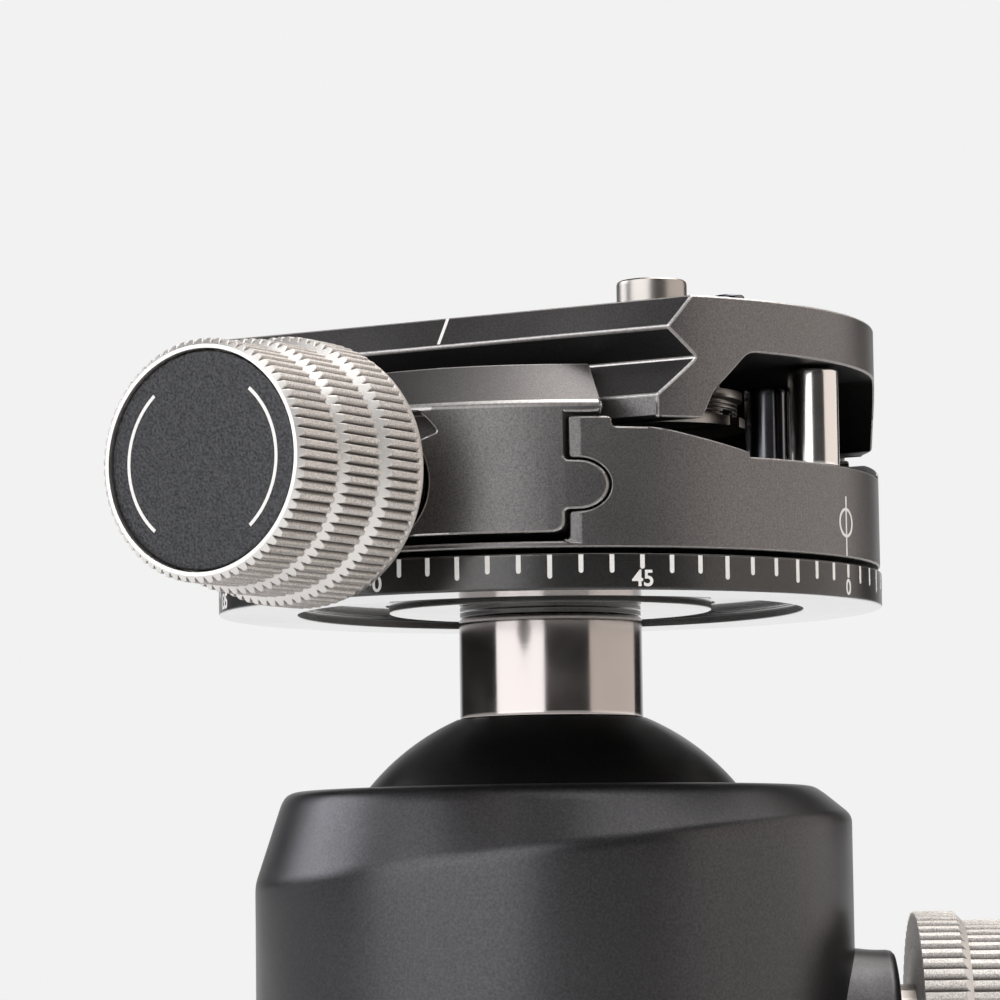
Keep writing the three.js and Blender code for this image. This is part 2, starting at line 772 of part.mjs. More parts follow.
// Ball seat: the cup below, its spring and the liner in the housing's mouth
function ballCup() {
  const seat = sphereArc(ballRadius + ballPlay, ballCentreZ, cupEndAngle, cupTopAngle, 4);
  const top = seat[seat.length - 1][1];
  const grooveZ0 = top - cupGrooveTop;
  return turned([
    [cupFootRadius, cupBottomZ],
    ...seat,
    [cupRadius, top],
    [cupRadius, grooveZ0],
    [cupRadius - cupGrooveDepth, grooveZ0 - cupGrooveDepth],
    [cupRadius - cupGrooveDepth, grooveZ0 - cupGrooveDepth - cupGrooveFlat],
    [cupRadius, grooveZ0 - cupGrooveHeight],
    [cupRadius, cupBottomZ],
  ]);
}

add(head, 'ball_cup', ballCup(), 'polymer');
add(head, 'cup_spring', coil(
  cupSpringRadius,
  cupSpringWire,
  floorTopZ + restGap,
  cupBottomZ - restGap,
  cupSpringCurls,
  16,
), 'steel');
add(head, 'ball_liner', turned([
  ...sphereArc(ballRadius + ballPlay, ballCentreZ, linerStartAngle, linerEndAngle, 4),
  ...sphereArc(linerOuterRadius, ballCentreZ, linerEndAngle, linerStartAngle, 4),
], mediumFacets), 'polymer');

// Main lock: plunger, screw, knob, its black face ring and the friction dial
function lockKnob() {
  const start = lockBossReach + restGap + lockCollarLength + restGap;
  const bandLength = lockKnobLength / 3;
  const bands = [0, 1, 2].map((i) => prism(
    flutedOutline(lockKnobRadius - i * lockKnobStep, lockKnobFluteDepth, lockKnobFlutePitch),
    bandLength + (i ? 0 : -edgeChamfer),
  ).translate(0, 0, start + i * bandLength));
  const core = disc(lockKnobRadius - 2 * lockKnobStep - 2 * lockKnobFluteDepth, start, start + lockKnobLength);
  const body = join(core, ...bands);
  const face = start + lockKnobLength - lockFaceDepth;
  return outward(cut(
    body,
    disc(lockFaceRadius + runGap, face, start + lockKnobLength + cutOver),
    disc(lockScrewRadius + restGap, start - cutOver, start + lockKnobLength + cutOver, shaftFacets),
  ));
}

const lockKnobStart = lockBossReach + restGap + lockCollarLength + restGap;
const lockKnobEnd = lockKnobStart + lockKnobLength;
const lockFaceStart = lockKnobEnd - lockFaceDepth + restGap;
const lockScrewEnd = lockFaceStart - restGap;
const dialFoot = lockFaceStart + restGap;

add(lock, 'lock_plunger', outward(cut(turned([
  [0, plungerTipReach],
  [plungerTipRadius, plungerTipReach],
  [plungerNeckRadius, plungerNeckReach],
  [plungerNeckRadius, plungerNeckReach + plungerShoulder],
  [lockScrewRadius, plungerNeckReach + plungerShoulder + edgeChamfer],
  [lockScrewRadius, plungerEnd],
  [0, plungerEnd],
], shaftFacets), disc(
  plungerThreadRadius + runGap,
  plungerThreadStart,
  plungerEnd + cutOver,
  shaftFacets,
))), 'brass');
add(lock, 'lock_screw', outward(cut(
  join(
    disc(lockScrewRadius, plungerEnd + plungerTravel + runGap, lockScrewEnd, shaftFacets),
    disc(plungerThreadRadius, plungerThreadStart + plungerTravel + runGap, lockBossReach, shaftFacets),
    disc(lockCollarRadius, lockBossReach + restGap, lockBossReach + restGap + lockCollarLength, mediumFacets),
  ),
  disc(dialStemRadius + runGap, dialFoot - dialStemLength - clearGap, lockKnobEnd, shaftFacets),
)), 'steel');
add(lock, 'lock_knob', lockKnob(), 'silver');
add(lock, 'lock_knob_face', outward(tubeRing(
  dialRadius + clearGap,
  lockFaceRadius,
  lockFaceStart,
  lockKnobEnd - restGap,
)), 'blackAnodised');
add(lock, 'friction_dial', outward(join(
  prism(
    flutedOutline(dialRadius, dialFluteDepth, 2 * Math.PI * dialRadius / dialFlutes),
    dialHeight,
  ).translate(0, 0, dialFoot),
  disc(dialStemRadius, dialFoot - dialStemLength, dialFoot + dialHeight / 2, shaftFacets),
)), 'silver');

// Base pan lock
add(baseLock, 'base_lock_screw', outward(disc(
  baseLockRadius,
  discHubRadius + clearGap,
  baseLockKnobReach + baseLockKnobLength / 2,
  shaftFacets,
)), 'steel');
add(baseLock, 'base_lock_knob', outward(cut(
  join(
    prism(
      flutedOutline(baseLockKnobRadius, lockKnobFluteDepth, lockKnobFlutePitch),
      baseLockKnobLength - edgeChamfer,
    ).translate(0, 0, baseLockKnobReach),
    disc(baseLockKnobRadius - 2 * lockKnobFluteDepth, baseLockKnobReach, baseLockKnobReach + baseLockKnobLength),
  ),
  disc(
    baseLockRadius + runGap,
    baseLockKnobReach - cutOver,
    baseLockKnobReach + baseLockKnobLength / 2 + clearGap,
    smallFacets,
  ),
)), 'silver');

// Ball, stem and pan scale ring
const stemSeat = Math.sqrt(ballRadius ** 2 - stemRadius ** 2) - clearGap;
const stemSpigotFoot = ballRadius / 2;
add(head, 'ball', cut(
  new THREE.SphereGeometry(ballRadius, mediumFacets, mediumFacets / 2)
    .rotateX(Math.PI / 2).translate(0, 0, ballCentreZ),
  disc(stemRadius + clearGap, ballCentreZ + stemSeat, ballCentreZ + ballRadius + cutOver),
  disc(spigotRadius + restGap, ballCentreZ + stemSpigotFoot, ballCentreZ + ballRadius + cutOver),
), 'satinBlack');

function stem() {
  const foot = ballCentreZ + stemSeat + restGap;
  const shoulder = ringBottomZ - ringNeckDrop - restGap;
  const top = ringBottomZ + spigotTop;
  const post = turned([
    [0, ballCentreZ + stemSpigotFoot + restGap],
    [spigotRadius, ballCentreZ + stemSpigotFoot + restGap],
    [spigotRadius, foot],
    [stemRadius, foot],
    [stemRadius, shoulder],
    [spigotRadius, shoulder],
    [spigotRadius, top],
    [0, top],
  ]);
  return cut(post, disc(panScrewRadius + runGap, ringBottomZ - panScrewReach - clearGap, top + cutOver, smallFacets));
}

add(head, 'stem', stem(), 'steel');
add(upper, 'pan_scale_ring', turned([
  [spigotRadius + runGap, -ringNeckDrop],
  [ringNeckRadius, -ringNeckDrop],
  [ringNeckRadius, ringHubRise],
  [ringHubRadius, ringHubRise],
  [ringHubRadius, ringRecessDepth],
  [ringRecessRadius, ringRecessDepth],
  [ringRecessRadius, 0],
  [ringRadius - ringEdge, 0],
  [ringRadius, ringEdge],
  [ringRadius, ringHeight - ringEdge],
  [ringRadius - ringEdge, ringHeight],
  [spigotRadius + runGap, ringHeight],
], largeFacets), 'blackAnodised');
add(upper, 'pan_washer', tubeRing(
  panWasherInnerRadius,
  panWasherOuterRadius,
  ringHeight + restGap,
  clampBottom - restGap,
), 'polymer');
add(upper, 'pan_bushing', tubeRing(
  spigotRadius + runGap,
  bushingRadius,
  ringHeight + restGap,
  panShelf,
  shaftFacets,
), 'brass');
add(upper, 'pan_retainer', cut(
  disc(panDiscRadius, spigotTop + restGap, spigotTop + restGap + panDiscThickness),
  disc(panScrewRadius + runGap, 0, clampFloor, smallFacets),
), 'steel');
const panHeadZ = spigotTop + panDiscThickness + 2 * restGap;
add(upper, 'pan_screw', join(
  disc(panScrewHeadRadius, panHeadZ, panHeadZ + panScrewHeadHeight, smallFacets),
  disc(panScrewRadius, -panScrewReach, panHeadZ + panScrewHeadHeight / 2, smallFacets),
), 'steel');

// Jaw lip: a sector of a coned ring that follows the plate's groove on its inside
function lip(foot) {
  const far = clampRadius + cutOver;
  const cheek = railU + clearGap;
  const ring = turned([
    [0, foot],
    [clampRadius, foot],
    [clampRadius, lipEdgeZ],
    [lipTopRadius, lipTopZ],
    [0, lipTopZ],
  ], largeFacets);
  const outsidePlate = alongX([
    [-cheek, foot - cutOver],
    [-cheek, flankOffset(cheek, clearGap)],
    [-lipTipU, flankOffset(lipTipU, clearGap)],
    [-lipTipU, lipTopZ + cutOver],
    [-far, lipTopZ + cutOver],
    [-far, foot - cutOver],
  ], -far, far);
  const side = far * Math.tan(rad(lipHalfAngle));
  const sector = prism([[0, 0], [-side, -far], [side, -far]], lipTopZ + cutOver);
  return common(ring, outsidePlate, sector);
}

function tongueOutline(play) {
  return slotOutline(
    -tongueReach + tongueHalfHeight,
    tongueReach - tongueHalfHeight,
    tongueHalfHeight + play,
  ).map(([x, z]) => [x, z + tongueZ]);
}

function clampCylinder(bottom, top) {
  return disc(clampRadius, bottom, top, largeFacets);
}

// Clamp body: a round block with the plate's channel along X, the fixed jaw and the pocket
function clampBody() {
  const far = clampRadius + cutOver;
  const high = lipTopZ + cutOver;
  const half = [
    [far, clampBottom - cutOver],
    [far, wingTop],
    [wingStepU, wingTop],
    [wingStepU, wingStepZ],
    [railU, wingStepZ],
    [channelHalfWidth, clampFloor + channelEdgeHeight],
    [channelHalfWidth, clampFloor],
  ];
  const profile = [...half, ...half.map(([u, z]) => [-u, z]).reverse()];
  const block = common(clampCylinder(clampBottom, high), alongX(profile, -far, far));
  const fixedLip = lip(wingStepZ - clearGap).rotateZ(Math.PI);
  const threadBoss = box(
    -threadBossHalfWidth,
    threadBossHalfWidth,
    -pocketBack,
    -panCounterRadius,
    clampBottom + cutOver,
    threadBossTop,
  );
  const springBore = (x) => alongKnob(disc(jawSpringRadius + clearGap + jawSpringWire / 2, pocketBack
    - jawSpringBody, pocketBack + cutOver, smallFacets)).translate(x, 0, tongueZ);
  return cut(
    join(block, fixedLip, threadBoss),
    box(-pocketHalfWidth, pocketHalfWidth, -far, -pocketBack, pocketFloor, high),
    alongY(tongueOutline(clearGap), -far, -pocketBack),
    disc(panBoreRadius, 0, high, mediumFacets),
    disc(panCounterRadius, panShelf, high, mediumFacets),
    alongKnob(disc(spindleRadius + runGap, threadEnd, pocketBack + cutOver, shaftFacets))
      .translate(0, 0, knobAxisZ),
    springBore(-jawSpringX),
    springBore(jawSpringX),
    ...[-1, 1].flatMap((side) => [
      disc(postShankRadius + runGap, clampFloor - postShankDepth, high, smallFacets)
        .translate(side * postX, 0, 0),
      disc(safetyFlangeRadius + runGap, safetyPinBore, high, shaftFacets)
        .translate(side * safetyPinX, 0, 0),
      disc(safetyBushRadius + restGap, clampFloor - safetyBushThickness - restGap, high, shaftFacets)
        .translate(side * safetyPinX, 0, 0),
    ]),
    alongKnob(disc(panLockRadius + runGap, -far, 0, shaftFacets)).translate(0, 0, panLockZ),
  );
}

function movableJaw() {
  const far = clampRadius + cutOver;
  const back = pocketBack + clearGap;
  const front = [];
  for (let i = 0; i <= 4; i++) {
    const angle = -Math.PI / 2 + Math.PI / 2 * i / 4;
    front.push([
      jawHalfWidth - jawCorner + jawCorner * Math.cos(angle),
      jawBottom + jawCorner + jawCorner * Math.sin(angle),
    ]);
  }
  const right = [...front, [jawHalfWidth, lipBottom + clearGap]];
  const outline = [...right, ...right.map(([x, z]) => [-x, z]).reverse()];
  const block = cut(
    alongY(outline, -far, -back),
    box(-far, far, -railU - clearGap, 0, railBottomZ - clearGap, lipTopZ),
  );
  const tongues = alongY(tongueOutline(0), -far, -back);
  const body = common(join(block, tongues), clampCylinder(jawBottom - cutOver, lipTopZ));
  const springBore = (x) => alongKnob(disc(
    jawSpringRadius + clearGap + jawSpringWire / 2,
    back - cutOver,
    back + jawSpringJaw,
    smallFacets,
  )).translate(x, 0, tongueZ);
  return cut(
    join(body, lip(lipBottom)),
    alongKnob(disc(spindleRadius + runGap, back - cutOver, far, shaftFacets)).translate(0, 0, knobAxisZ),
    alongKnob(disc(spotRadius, clampRadius - spotDepth, far, mediumFacets)).translate(0, 0, knobAxisZ),
    springBore(-jawSpringX),
    springBore(jawSpringX),
  );
}

add(upper, 'clamp_body', clampBody(), 'greyAnodised');
add(upper, 'movable_jaw', movableJaw(), 'greyAnodised');
for (const [side, x] of [['left', -jawSpringX], ['right', jawSpringX]]) {
  add(upper, `jaw_spring_${side}`, alongKnob(coil(
    jawSpringRadius,
    jawSpringWire,
    pocketBack - jawSpringBody + restGap,
    pocketBack + clearGap + jawSpringJaw - restGap,
    jawSpringCurls,
    8,
    4,
  )).translate(x, 0, tongueZ), 'steel');
}

// Clamp knob: three fluted bands that step up in diameter, with smooth shoulders between them
function clampKnob() {
  const bands = [
    [knobBandStart, knobBackEnd, knobBackRadius],
    [knobMiddleStart, knobMiddleEnd, knobMiddleRadius],
    [knobFrontStart, knobFrontEnd, knobFrontRadius],
  ];
  const fluted = bands.map(([from, to, radius]) => common(
    prism(flutedOutline(radius, knobFluteDepth, knobFlutePitch), to - from).translate(0, 0, from),
    turned([
      [0, from],
      [radius, from],
      [radius, to - knobBevel],
      [radius - knobBevel, to],
      [0, to],
    ]),
  ));
  const core = turned([
    [0, knobBandStart],
    ...bands.flatMap(([from, to, radius]) => [[radius - knobFluteDepth, from], [radius - knobFluteDepth, to]]),
    [knobRimRadius, knobFrontEnd],
    [knobRimRadius, knobFaceY - knobBevel],
    [knobRimRadius - knobBevel, knobFaceY],
    [0, knobFaceY],
  ]);
  const seat = knobFaceY - knobCapSink - knobCapThickness - restGap;
  return cut(
    join(core, ...fluted),
    disc(knobCapRadius + knobCapPlay, seat, knobFaceY + cutOver),
    disc(knobPocketRadius, knobBandStart - cutOver, knobPocketEnd, mediumFacets),
    disc(spindleDriveRadius + runGap, knobBandStart - cutOver, knobBoreEnd, shaftFacets),
  );
}

function jawSpindle() {
  return turned([
    [0, spindleTip],
    [spindleRadius, spindleTip],
    [spindleRadius, spindleCollarStart],
    [spindleCollarRadius, spindleCollarStart],
    [spindleCollarRadius, spindleNeckStart],
    [spindleNeckRadius, spindleNeckStart],
    [spindleNeckRadius, spindleFlangeStart],
    [spindleFlangeRadius, spindleFlangeStart],
    [spindleFlangeRadius, spindleFlangeEnd],
    [spindleDriveRadius, spindleFlangeEnd],
    [spindleDriveRadius, spindleEnd],
    [0, spindleEnd],
  ], mediumFacets);
}

function onKnobAxis(geometry) {
  return alongKnob(geometry).translate(0, 0, knobAxisZ);
}

const knobCapZ = knobFaceY - knobCapSink - knobCapThickness;
add(upper, 'clamp_knob', onKnobAxis(clampKnob()), 'silver');
add(upper, 'clamp_knob_cap', onKnobAxis(
  disc(knobCapRadius, knobCapZ, knobCapZ + knobCapThickness),
), 'blackAnodised');
add(upper, 'clamp_knob_collar', onKnobAxis(
  tubeRing(spindleNeckRadius + clearGap, knobCollarRadius, knobBackY, knobBackY + knobCollarThickness),
), 'silver');
add(upper, 'jaw_spindle', onKnobAxis(jawSpindle()), 'steel');
add(upper, 'jaw_thrust_washer', onKnobAxis(tubeRing(
  spindleRadius + runGap,
  spindleCollarRadius,
  clampRadius - spotDepth + restGap,
  spindleCollarStart - restGap,
  shaftFacets,
)), 'blackSteel');
add(upper, 'clamp_knob_spring', onKnobAxis(coil(
  knobSpringRadius,
  knobSpringWire,
  spindleFlangeEnd + restGap,
  knobPocketEnd - restGap,
  knobSpringCurls,
)), 'steel');

// Camera plate: a dovetail profile along X, rounded at its ends
function cameraPlate() {
  const half = [
    [plateTopU, plateTop],
    [plateEdgeU, plateEdgeZ],
    [grooveU, grooveZ],
    [railU, railTopZ],
    [railU, railBottomZ],
    [railInnerU, railBottomZ],
    [railKneeU, railKneeZ],
    [archU, archZ],
  ];
  const profile = [...half, ...half.map(([u, z]) => [-u, z]).reverse()];
  const round = turned([
    [0, railBottomZ],
    [plateRadius, railBottomZ],
    [plateRadius, plateTop - plateEdgeChamfer],
    [plateRadius - plateEdgeChamfer, plateTop],
    [0, plateTop],
  ], largeFacets);
  const reach = plateRadius + cutOver;
  const slot = prism(
    slotOutline(-cameraScrewX, cameraScrewX, cameraScrewRadius + clearGap),
    plateTop,
  ).translate(0, 0, archZ - cutOver);
  return cut(
    common(alongX(profile, -reach, reach), round),
    slot,
    padShape(padRecess + cutOver, clearGap).translate(0, 0, plateTop - padRecess),
    disc(studRadius + runGap, studFoot - restGap, plateTop + cutOver, smallFacets).translate(studX, 0, 0),
  );
}

// The pad's outline: a round disc with flat sides and a slot for the screw and stud
function padShape(height, grow) {
  const outer = common(
    disc(padRadius + grow, 0, height, largeFacets),
    box(-plateRadius, plateRadius, -padHalfWidth - grow, padHalfWidth + grow, 0, height),
  );
  const hole = prism(
    slotOutline(-padHoleLeft + padHoleHalfWidth, padHoleRight - padHoleHalfWidth, padHoleHalfWidth - grow),
    height + 2 * cutOver,
  ).translate(0, 0, -cutOver);
  return cut(outer, hole);
}

function cameraScrew() {
  const grooves = [];
  const barrelTop = screwFlangeTop - screwFlangeThickness;
  const barrelBottom = screwBottom + screwFootThickness;
  const pitch = (barrelTop - barrelBottom) / screwGrooves;
  for (let i = 0; i < screwGrooves; i++) {
    grooves.push(
      [screwBarrelRadius, barrelBottom + (i + 1 / 4) * pitch],
      [screwBarrelRadius - screwGrooveDepth, barrelBottom + (i + 3 / 4) * pitch],
    );
  }
  const body = turned([
    [0, screwBottom],
    [screwFootRadius, screwBottom],
    [screwFootRadius, barrelBottom],
    ...grooves,
    [screwFlangeRadius, barrelTop],
    [screwFlangeRadius, screwFlangeTop],
    [cameraScrewRadius, screwFlangeTop],
    [cameraScrewRadius, cameraScrewTop - cameraScrewTipChamfer],
    [cameraScrewRadius - cameraScrewTipChamfer, cameraScrewTop],
    [0, cameraScrewTop],
  ], 32);
  const reach = screwFootRadius + cutOver;
  return cut(body, box(
    -reach,
    reach,
    -coinSlotWidth / 2,
    coinSlotWidth / 2,
    screwBottom - cutOver,
    screwBottom + coinSlotDepth,
  )).translate(cameraScrewX, 0, 0);
}

add(upper, 'camera_plate', cameraPlate(), 'greyAnodised');
add(upper, 'plate_pad', padShape(padRecess - restGap + padProud, 0)
  .translate(0, 0, plateTop - padRecess + restGap), 'rubber');
add(upper, 'camera_screw', cameraScrew(), 'steel');
add(upper, 'camera_screw_washer', tubeRing(
  cameraScrewRadius + runGap,
  screwWasherRadius,
  screwFlangeTop + restGap,
  archZ - restGap,
  shaftFacets,
).translate(cameraScrewX, 0, 0), 'polymer');
add(upper, 'anti_twist_stud', disc(studRadius, studFoot, studTop, smallFacets)
  .translate(studX, 0, 0), 'blackSteel');

// Stop posts and sprung safety pins, one of each at either end of the channel
for (const [side, sign] of [['left', -1], ['right', 1]]) {
  add(upper, `stop_post_${side}`, join(
    disc(postRadius, clampFloor + restGap, archZ - clearGap, smallFacets),
    disc(postShankRadius, clampFloor - postShankDepth + restGap, clampFloor + postRadius, smallFacets),
  ).translate(sign * postX, 0, 0), 'steel');
  add(upper, `safety_pin_${side}`, join(
    disc(safetyPinRadius, safetyPinFoot, safetyPinTop, shaftFacets),
    disc(safetyFlangeRadius, safetyPinFoot, safetyPinFoot + safetyFlangeThickness, shaftFacets),
  ).translate(sign * safetyPinX, 0, 0), 'blackSteel');
  add(upper, `safety_bush_${side}`, tubeRing(
    safetyPinRadius + runGap,
    safetyBushRadius,
    clampFloor - safetyBushThickness,
    clampFloor,
    shaftFacets,
  ).translate(sign * safetyPinX, 0, 0), 'steel');
  add(upper, `safety_spring_${side}`, coil(
    safetyPinSpringRadius,
    safetyPinWire,
    safetyPinBore + restGap,
    safetyPinFoot - restGap,
    safetyPinCurls,
    8,
    4,
  ).translate(sign * safetyPinX, 0, 0), 'steel');
}

// Top pan lock at the back
function behind(geometry) {
  return geometry.rotateX(-Math.PI / 2).translate(0, 0, panLockZ);
}

add(upper, 'pan_lock_screw', behind(disc(
  panLockRadius,
  panDiscRadius + clearGap,
  panLockKnobReach + panLockKnobLength / 2,
  shaftFacets,
)), 'steel');
add(upper, 'pan_lock_knob', behind(cut(
  join(
    prism(
      flutedOutline(panLockKnobRadius, lockKnobFluteDepth, lockKnobFlutePitch),
      panLockKnobLength - edgeChamfer,
    ).translate(0, 0, panLockKnobReach),
    disc(panLockKnobRadius - 2 * lockKnobFluteDepth, panLockKnobReach, panLockKnobReach + panLockKnobLength),
  ),
  disc(
    panLockRadius + runGap,
    panLockKnobReach - cutOver,
    panLockKnobReach + panLockKnobLength / 2 + clearGap,
    smallFacets,
  ),
)), 'silver');

export default head;
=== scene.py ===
"""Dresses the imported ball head: surfaces, finishes, light and camera.

Lengths are millimetres in the CAD's frame until a mesh is made, which turns them to metres.
Heights of the upper part are counted from the lower edge of the pan scale ring.
"""

import json
import logging
import math
from collections.abc import Callable, Sequence
from dataclasses import dataclass
from enum import Enum

import bmesh
import bpy
import numpy as np
from mathutils import Matrix, Vector


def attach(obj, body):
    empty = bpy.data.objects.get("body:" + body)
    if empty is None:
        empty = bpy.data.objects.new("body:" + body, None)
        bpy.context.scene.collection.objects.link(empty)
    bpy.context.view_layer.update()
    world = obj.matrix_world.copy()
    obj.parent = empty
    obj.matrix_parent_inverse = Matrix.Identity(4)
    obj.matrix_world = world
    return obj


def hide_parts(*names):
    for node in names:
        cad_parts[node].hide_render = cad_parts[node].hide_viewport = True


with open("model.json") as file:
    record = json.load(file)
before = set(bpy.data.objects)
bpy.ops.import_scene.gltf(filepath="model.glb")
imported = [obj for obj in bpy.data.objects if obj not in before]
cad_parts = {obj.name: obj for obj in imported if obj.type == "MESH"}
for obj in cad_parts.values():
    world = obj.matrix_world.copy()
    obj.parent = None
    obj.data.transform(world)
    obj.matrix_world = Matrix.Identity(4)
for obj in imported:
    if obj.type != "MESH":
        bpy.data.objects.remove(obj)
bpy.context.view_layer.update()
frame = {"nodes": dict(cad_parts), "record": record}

log = logging.getLogger("ball_head")

MM = 0.001
RING_Z = 76.0            # height of the pan scale ring's lower edge above the base
BALL_Z = 46.7            # height of the ball's centre
KNOB_Z = 9.45            # height of the clamp knob's axis above the ring's lower edge
CHANNEL_Z = 11.5         # height of the plate channel's floor
POST_X = 26.9            # how far the posts and the safety pins stand from the middle
PIN_X = 22.2
ROUND = 224              # steps round a large circle, and round a small one
SMALL_ROUND = 96
ENVELOPE = 132           # steps round the clamp, none of them close to the end of a tongue
BROKEN_EDGE = 0.17       # width of a broken edge
MARK_FOOT = -0.05        # how far a painted mark starts below the surface, and how far it stands out of it
MARK_RISE = 0.012


class Body(Enum):
    """The CAD bodies that pieces ride on."""

    BASE = "base"
    HOUSING = "housing"
    BASE_LOCK = "base_lock"
    MAIN_LOCK = "main_lock"
    FRICTION_STOP = "friction_stop"
    BALL = "ball"
    CLAMP = "clamp"
    JAW = "jaw"
    SPINDLE = "spindle"
    CLAMP_KNOB = "clamp_knob"
    PAN_LOCK = "pan_lock"
    PLATE = "plate"
    CAMERA_SCREW = "camera_screw"
    PIN_LEFT = "safety_pin_left"
    PIN_RIGHT = "safety_pin_right"


class Cut(Enum):
    """What one solid does to another."""

    TAKE_AWAY = "DIFFERENCE"
    ADD = "UNION"
    KEEP_COMMON = "INTERSECT"


# Colours, shader nodes and finishes

def linear(hex_colour: str) -> tuple[float, float, float, float]:
    """Turns an sRGB hex colour into linear red, green and blue by the sRGB curve, with an alpha of one."""
    values = np.array([int(hex_colour[i:i + 2], 16) / 255 for i in (1, 3, 5)])
    curve = np.where(values <= 0.04045, values / 12.92, ((values + 0.055) / 1.055) ** 2.4)
    return (*map(float, curve), 1.0)


def feed(tree: bpy.types.NodeTree, node: bpy.types.Node, inputs: dict) -> None:
    """Sets a node's inputs.

    Args:
        tree: the node tree.
        node: the node.
        inputs: socket names or numbers, each with a value, an output socket, or a node whose only output it takes.
    """
    for name, value in inputs.items():
        if isinstance(value, bpy.types.Node):
            value = next(socket for socket in value.outputs if socket.enabled)
        if isinstance(value, bpy.types.NodeSocket):
            tree.links.new(value, node.inputs[name])
        else:
            node.inputs[name].default_value = value


def add_node(tree: bpy.types.NodeTree, kind: str, settings: dict | None = None,
             inputs: dict | None = None) -> bpy.types.Node:
    """Adds a shader node with its settings and links.

    Args:
        tree: the node tree it goes into.
        kind: the node's type name after its common beginning.
        settings: attribute names and their values.
        inputs: what feeds its sockets.

    Returns:
        The new node.
    """
    node = tree.nodes.new("ShaderNode" + kind)
    for name, value in (settings or {}).items():
        setattr(node, name, value)
    feed(tree, node, inputs or {})
    return node


@dataclass(frozen=True)
class Finish:
    """A real material, named for what it is, with the colour and the pattern that its making gave it."""

    name: str
    colour: str

    def pattern(self, tree: bpy.types.NodeTree, place: bpy.types.NodeSocket) -> dict:
        """Adds the pattern's nodes on the piece's own coordinates and returns what feeds the shader's sockets."""
        raise NotImplementedError

    def material(self) -> bpy.types.Material:
        """Builds the material, or returns it where it exists."""
        if self.name not in bpy.data.materials:
            made = bpy.data.materials.new(self.name)
            made.use_nodes = True
            tree = made.node_tree
            place = add_node(tree, "TexCoord").outputs["Object"]
            feed(tree, tree.nodes["Principled BSDF"], self.pattern(tree, place))
        return bpy.data.materials[self.name]


@dataclass(frozen=True)
class BlastedAnodising(Finish):
    """Bead-blasted aluminium under an anodised layer: a matt metal with a fine, even, slightly sparkling grain."""

    grain_colour: str
    roughness: float = 0.5
    metallic: float = 0.9
    grain: float = 0.16      # millimetres across a dimple, coarser than the real 0.05 so that it shows
    grain_height: float = 0.012
    blotch: float = 14.0     # millimetres across the faint clouds that handling leaves
    blotch_share: float = 0.25
    coat: float = 0.0        # share of a clear, smooth lacquer

    def pattern(self, tree: bpy.types.NodeTree, place: bpy.types.NodeSocket) -> dict:
        """Mixes two tones by the grain, with the clouds on top, and lifts the grain."""
        grain = add_node(tree, "TexNoise", None, {"Vector": place, "Scale": 1 / (self.grain * MM), "Detail": 2.0})
        cloud = add_node(tree, "TexNoise", None, {"Vector": place, "Scale": 1 / (self.blotch * MM), "Detail": 3.0})
        spread = add_node(tree, "MapRange", None, {0: grain.outputs[0], "From Min": 0.3, "From Max": 0.7})
        soft = add_node(tree, "Math", {"operation": "MULTIPLY_ADD"},
                        {0: cloud.outputs[0], 1: self.blotch_share, 2: -self.blotch_share / 2})
        share = add_node(tree, "Math", {"operation": "ADD", "use_clamp": True}, {0: spread, 1: soft})
        tint = add_node(tree, "Mix", {"data_type": "RGBA"},
                        {"Factor": share, 6: linear(self.grain_colour), 7: linear(self.colour)})
        rough = add_node(tree, "MapRange", None, {0: cloud.outputs[0], "From Min": 0.3, "From Max": 0.7,
                                                  "To Min": self.roughness - 0.05, "To Max": self.roughness + 0.05})
        bump = add_node(tree, "Bump", None, {"Height": grain.outputs[0], "Distance": self.grain_height * MM})
        return {"Base Color": tint, "Roughness": rough, "Normal": bump, "Metallic": self.metallic,
                "Coat Weight": self.coat}


@dataclass(frozen=True)
class TurnedMetal(Finish):
    """Lathe-turned and polished metal: clear reflections, drawn out a little by fine rings from the tool."""

    roughness: float = 0.12
    ring: float = 0.25       # millimetres between tool marks
    ring_height: float = 0.0012
    stain: float = 6.0       # millimetres across a faint stain
    stain_colour: str = "#b4aca5"
    stain_share: float = 0.2

    def pattern(self, tree: bpy.types.NodeTree, place: bpy.types.NodeSocket) -> dict:
        """Stains the colour and the gloss a little, and lifts rings along Z."""
        along = add_node(tree, "VectorMath", {"operation": "DOT_PRODUCT"}, {0: place, 1: (0.0, 0.0, 1.0)})
        marks = add_node(tree, "TexNoise", {"noise_dimensions": "1D"},
                         {"W": along, "Scale": 1 / (self.ring * MM), "Detail": 3.0})
        stain = add_node(tree, "TexNoise", None, {"Vector": place, "Scale": 1 / (self.stain * MM), "Detail": 4.0})
        share = add_node(tree, "Math", {"operation": "MULTIPLY"}, {0: stain.outputs[0], 1: self.stain_share})
        tint = add_node(tree, "Mix", {"data_type": "RGBA"},
                        {"Factor": share, 6: linear(self.colour), 7: linear(self.stain_colour)})
        rough = add_node(tree, "MapRange", None, {0: stain.outputs[0], "From Min": 0.3, "From Max": 0.7,
                                                  "To Min": self.roughness * 0.8, "To Max": self.roughness * 1.3})
        bump = add_node(tree, "Bump", None, {"Height": marks.outputs[0], "Distance": self.ring_height * MM})
        return {"Base Color": tint, "Roughness": rough, "Normal": bump, "Metallic": 1.0}


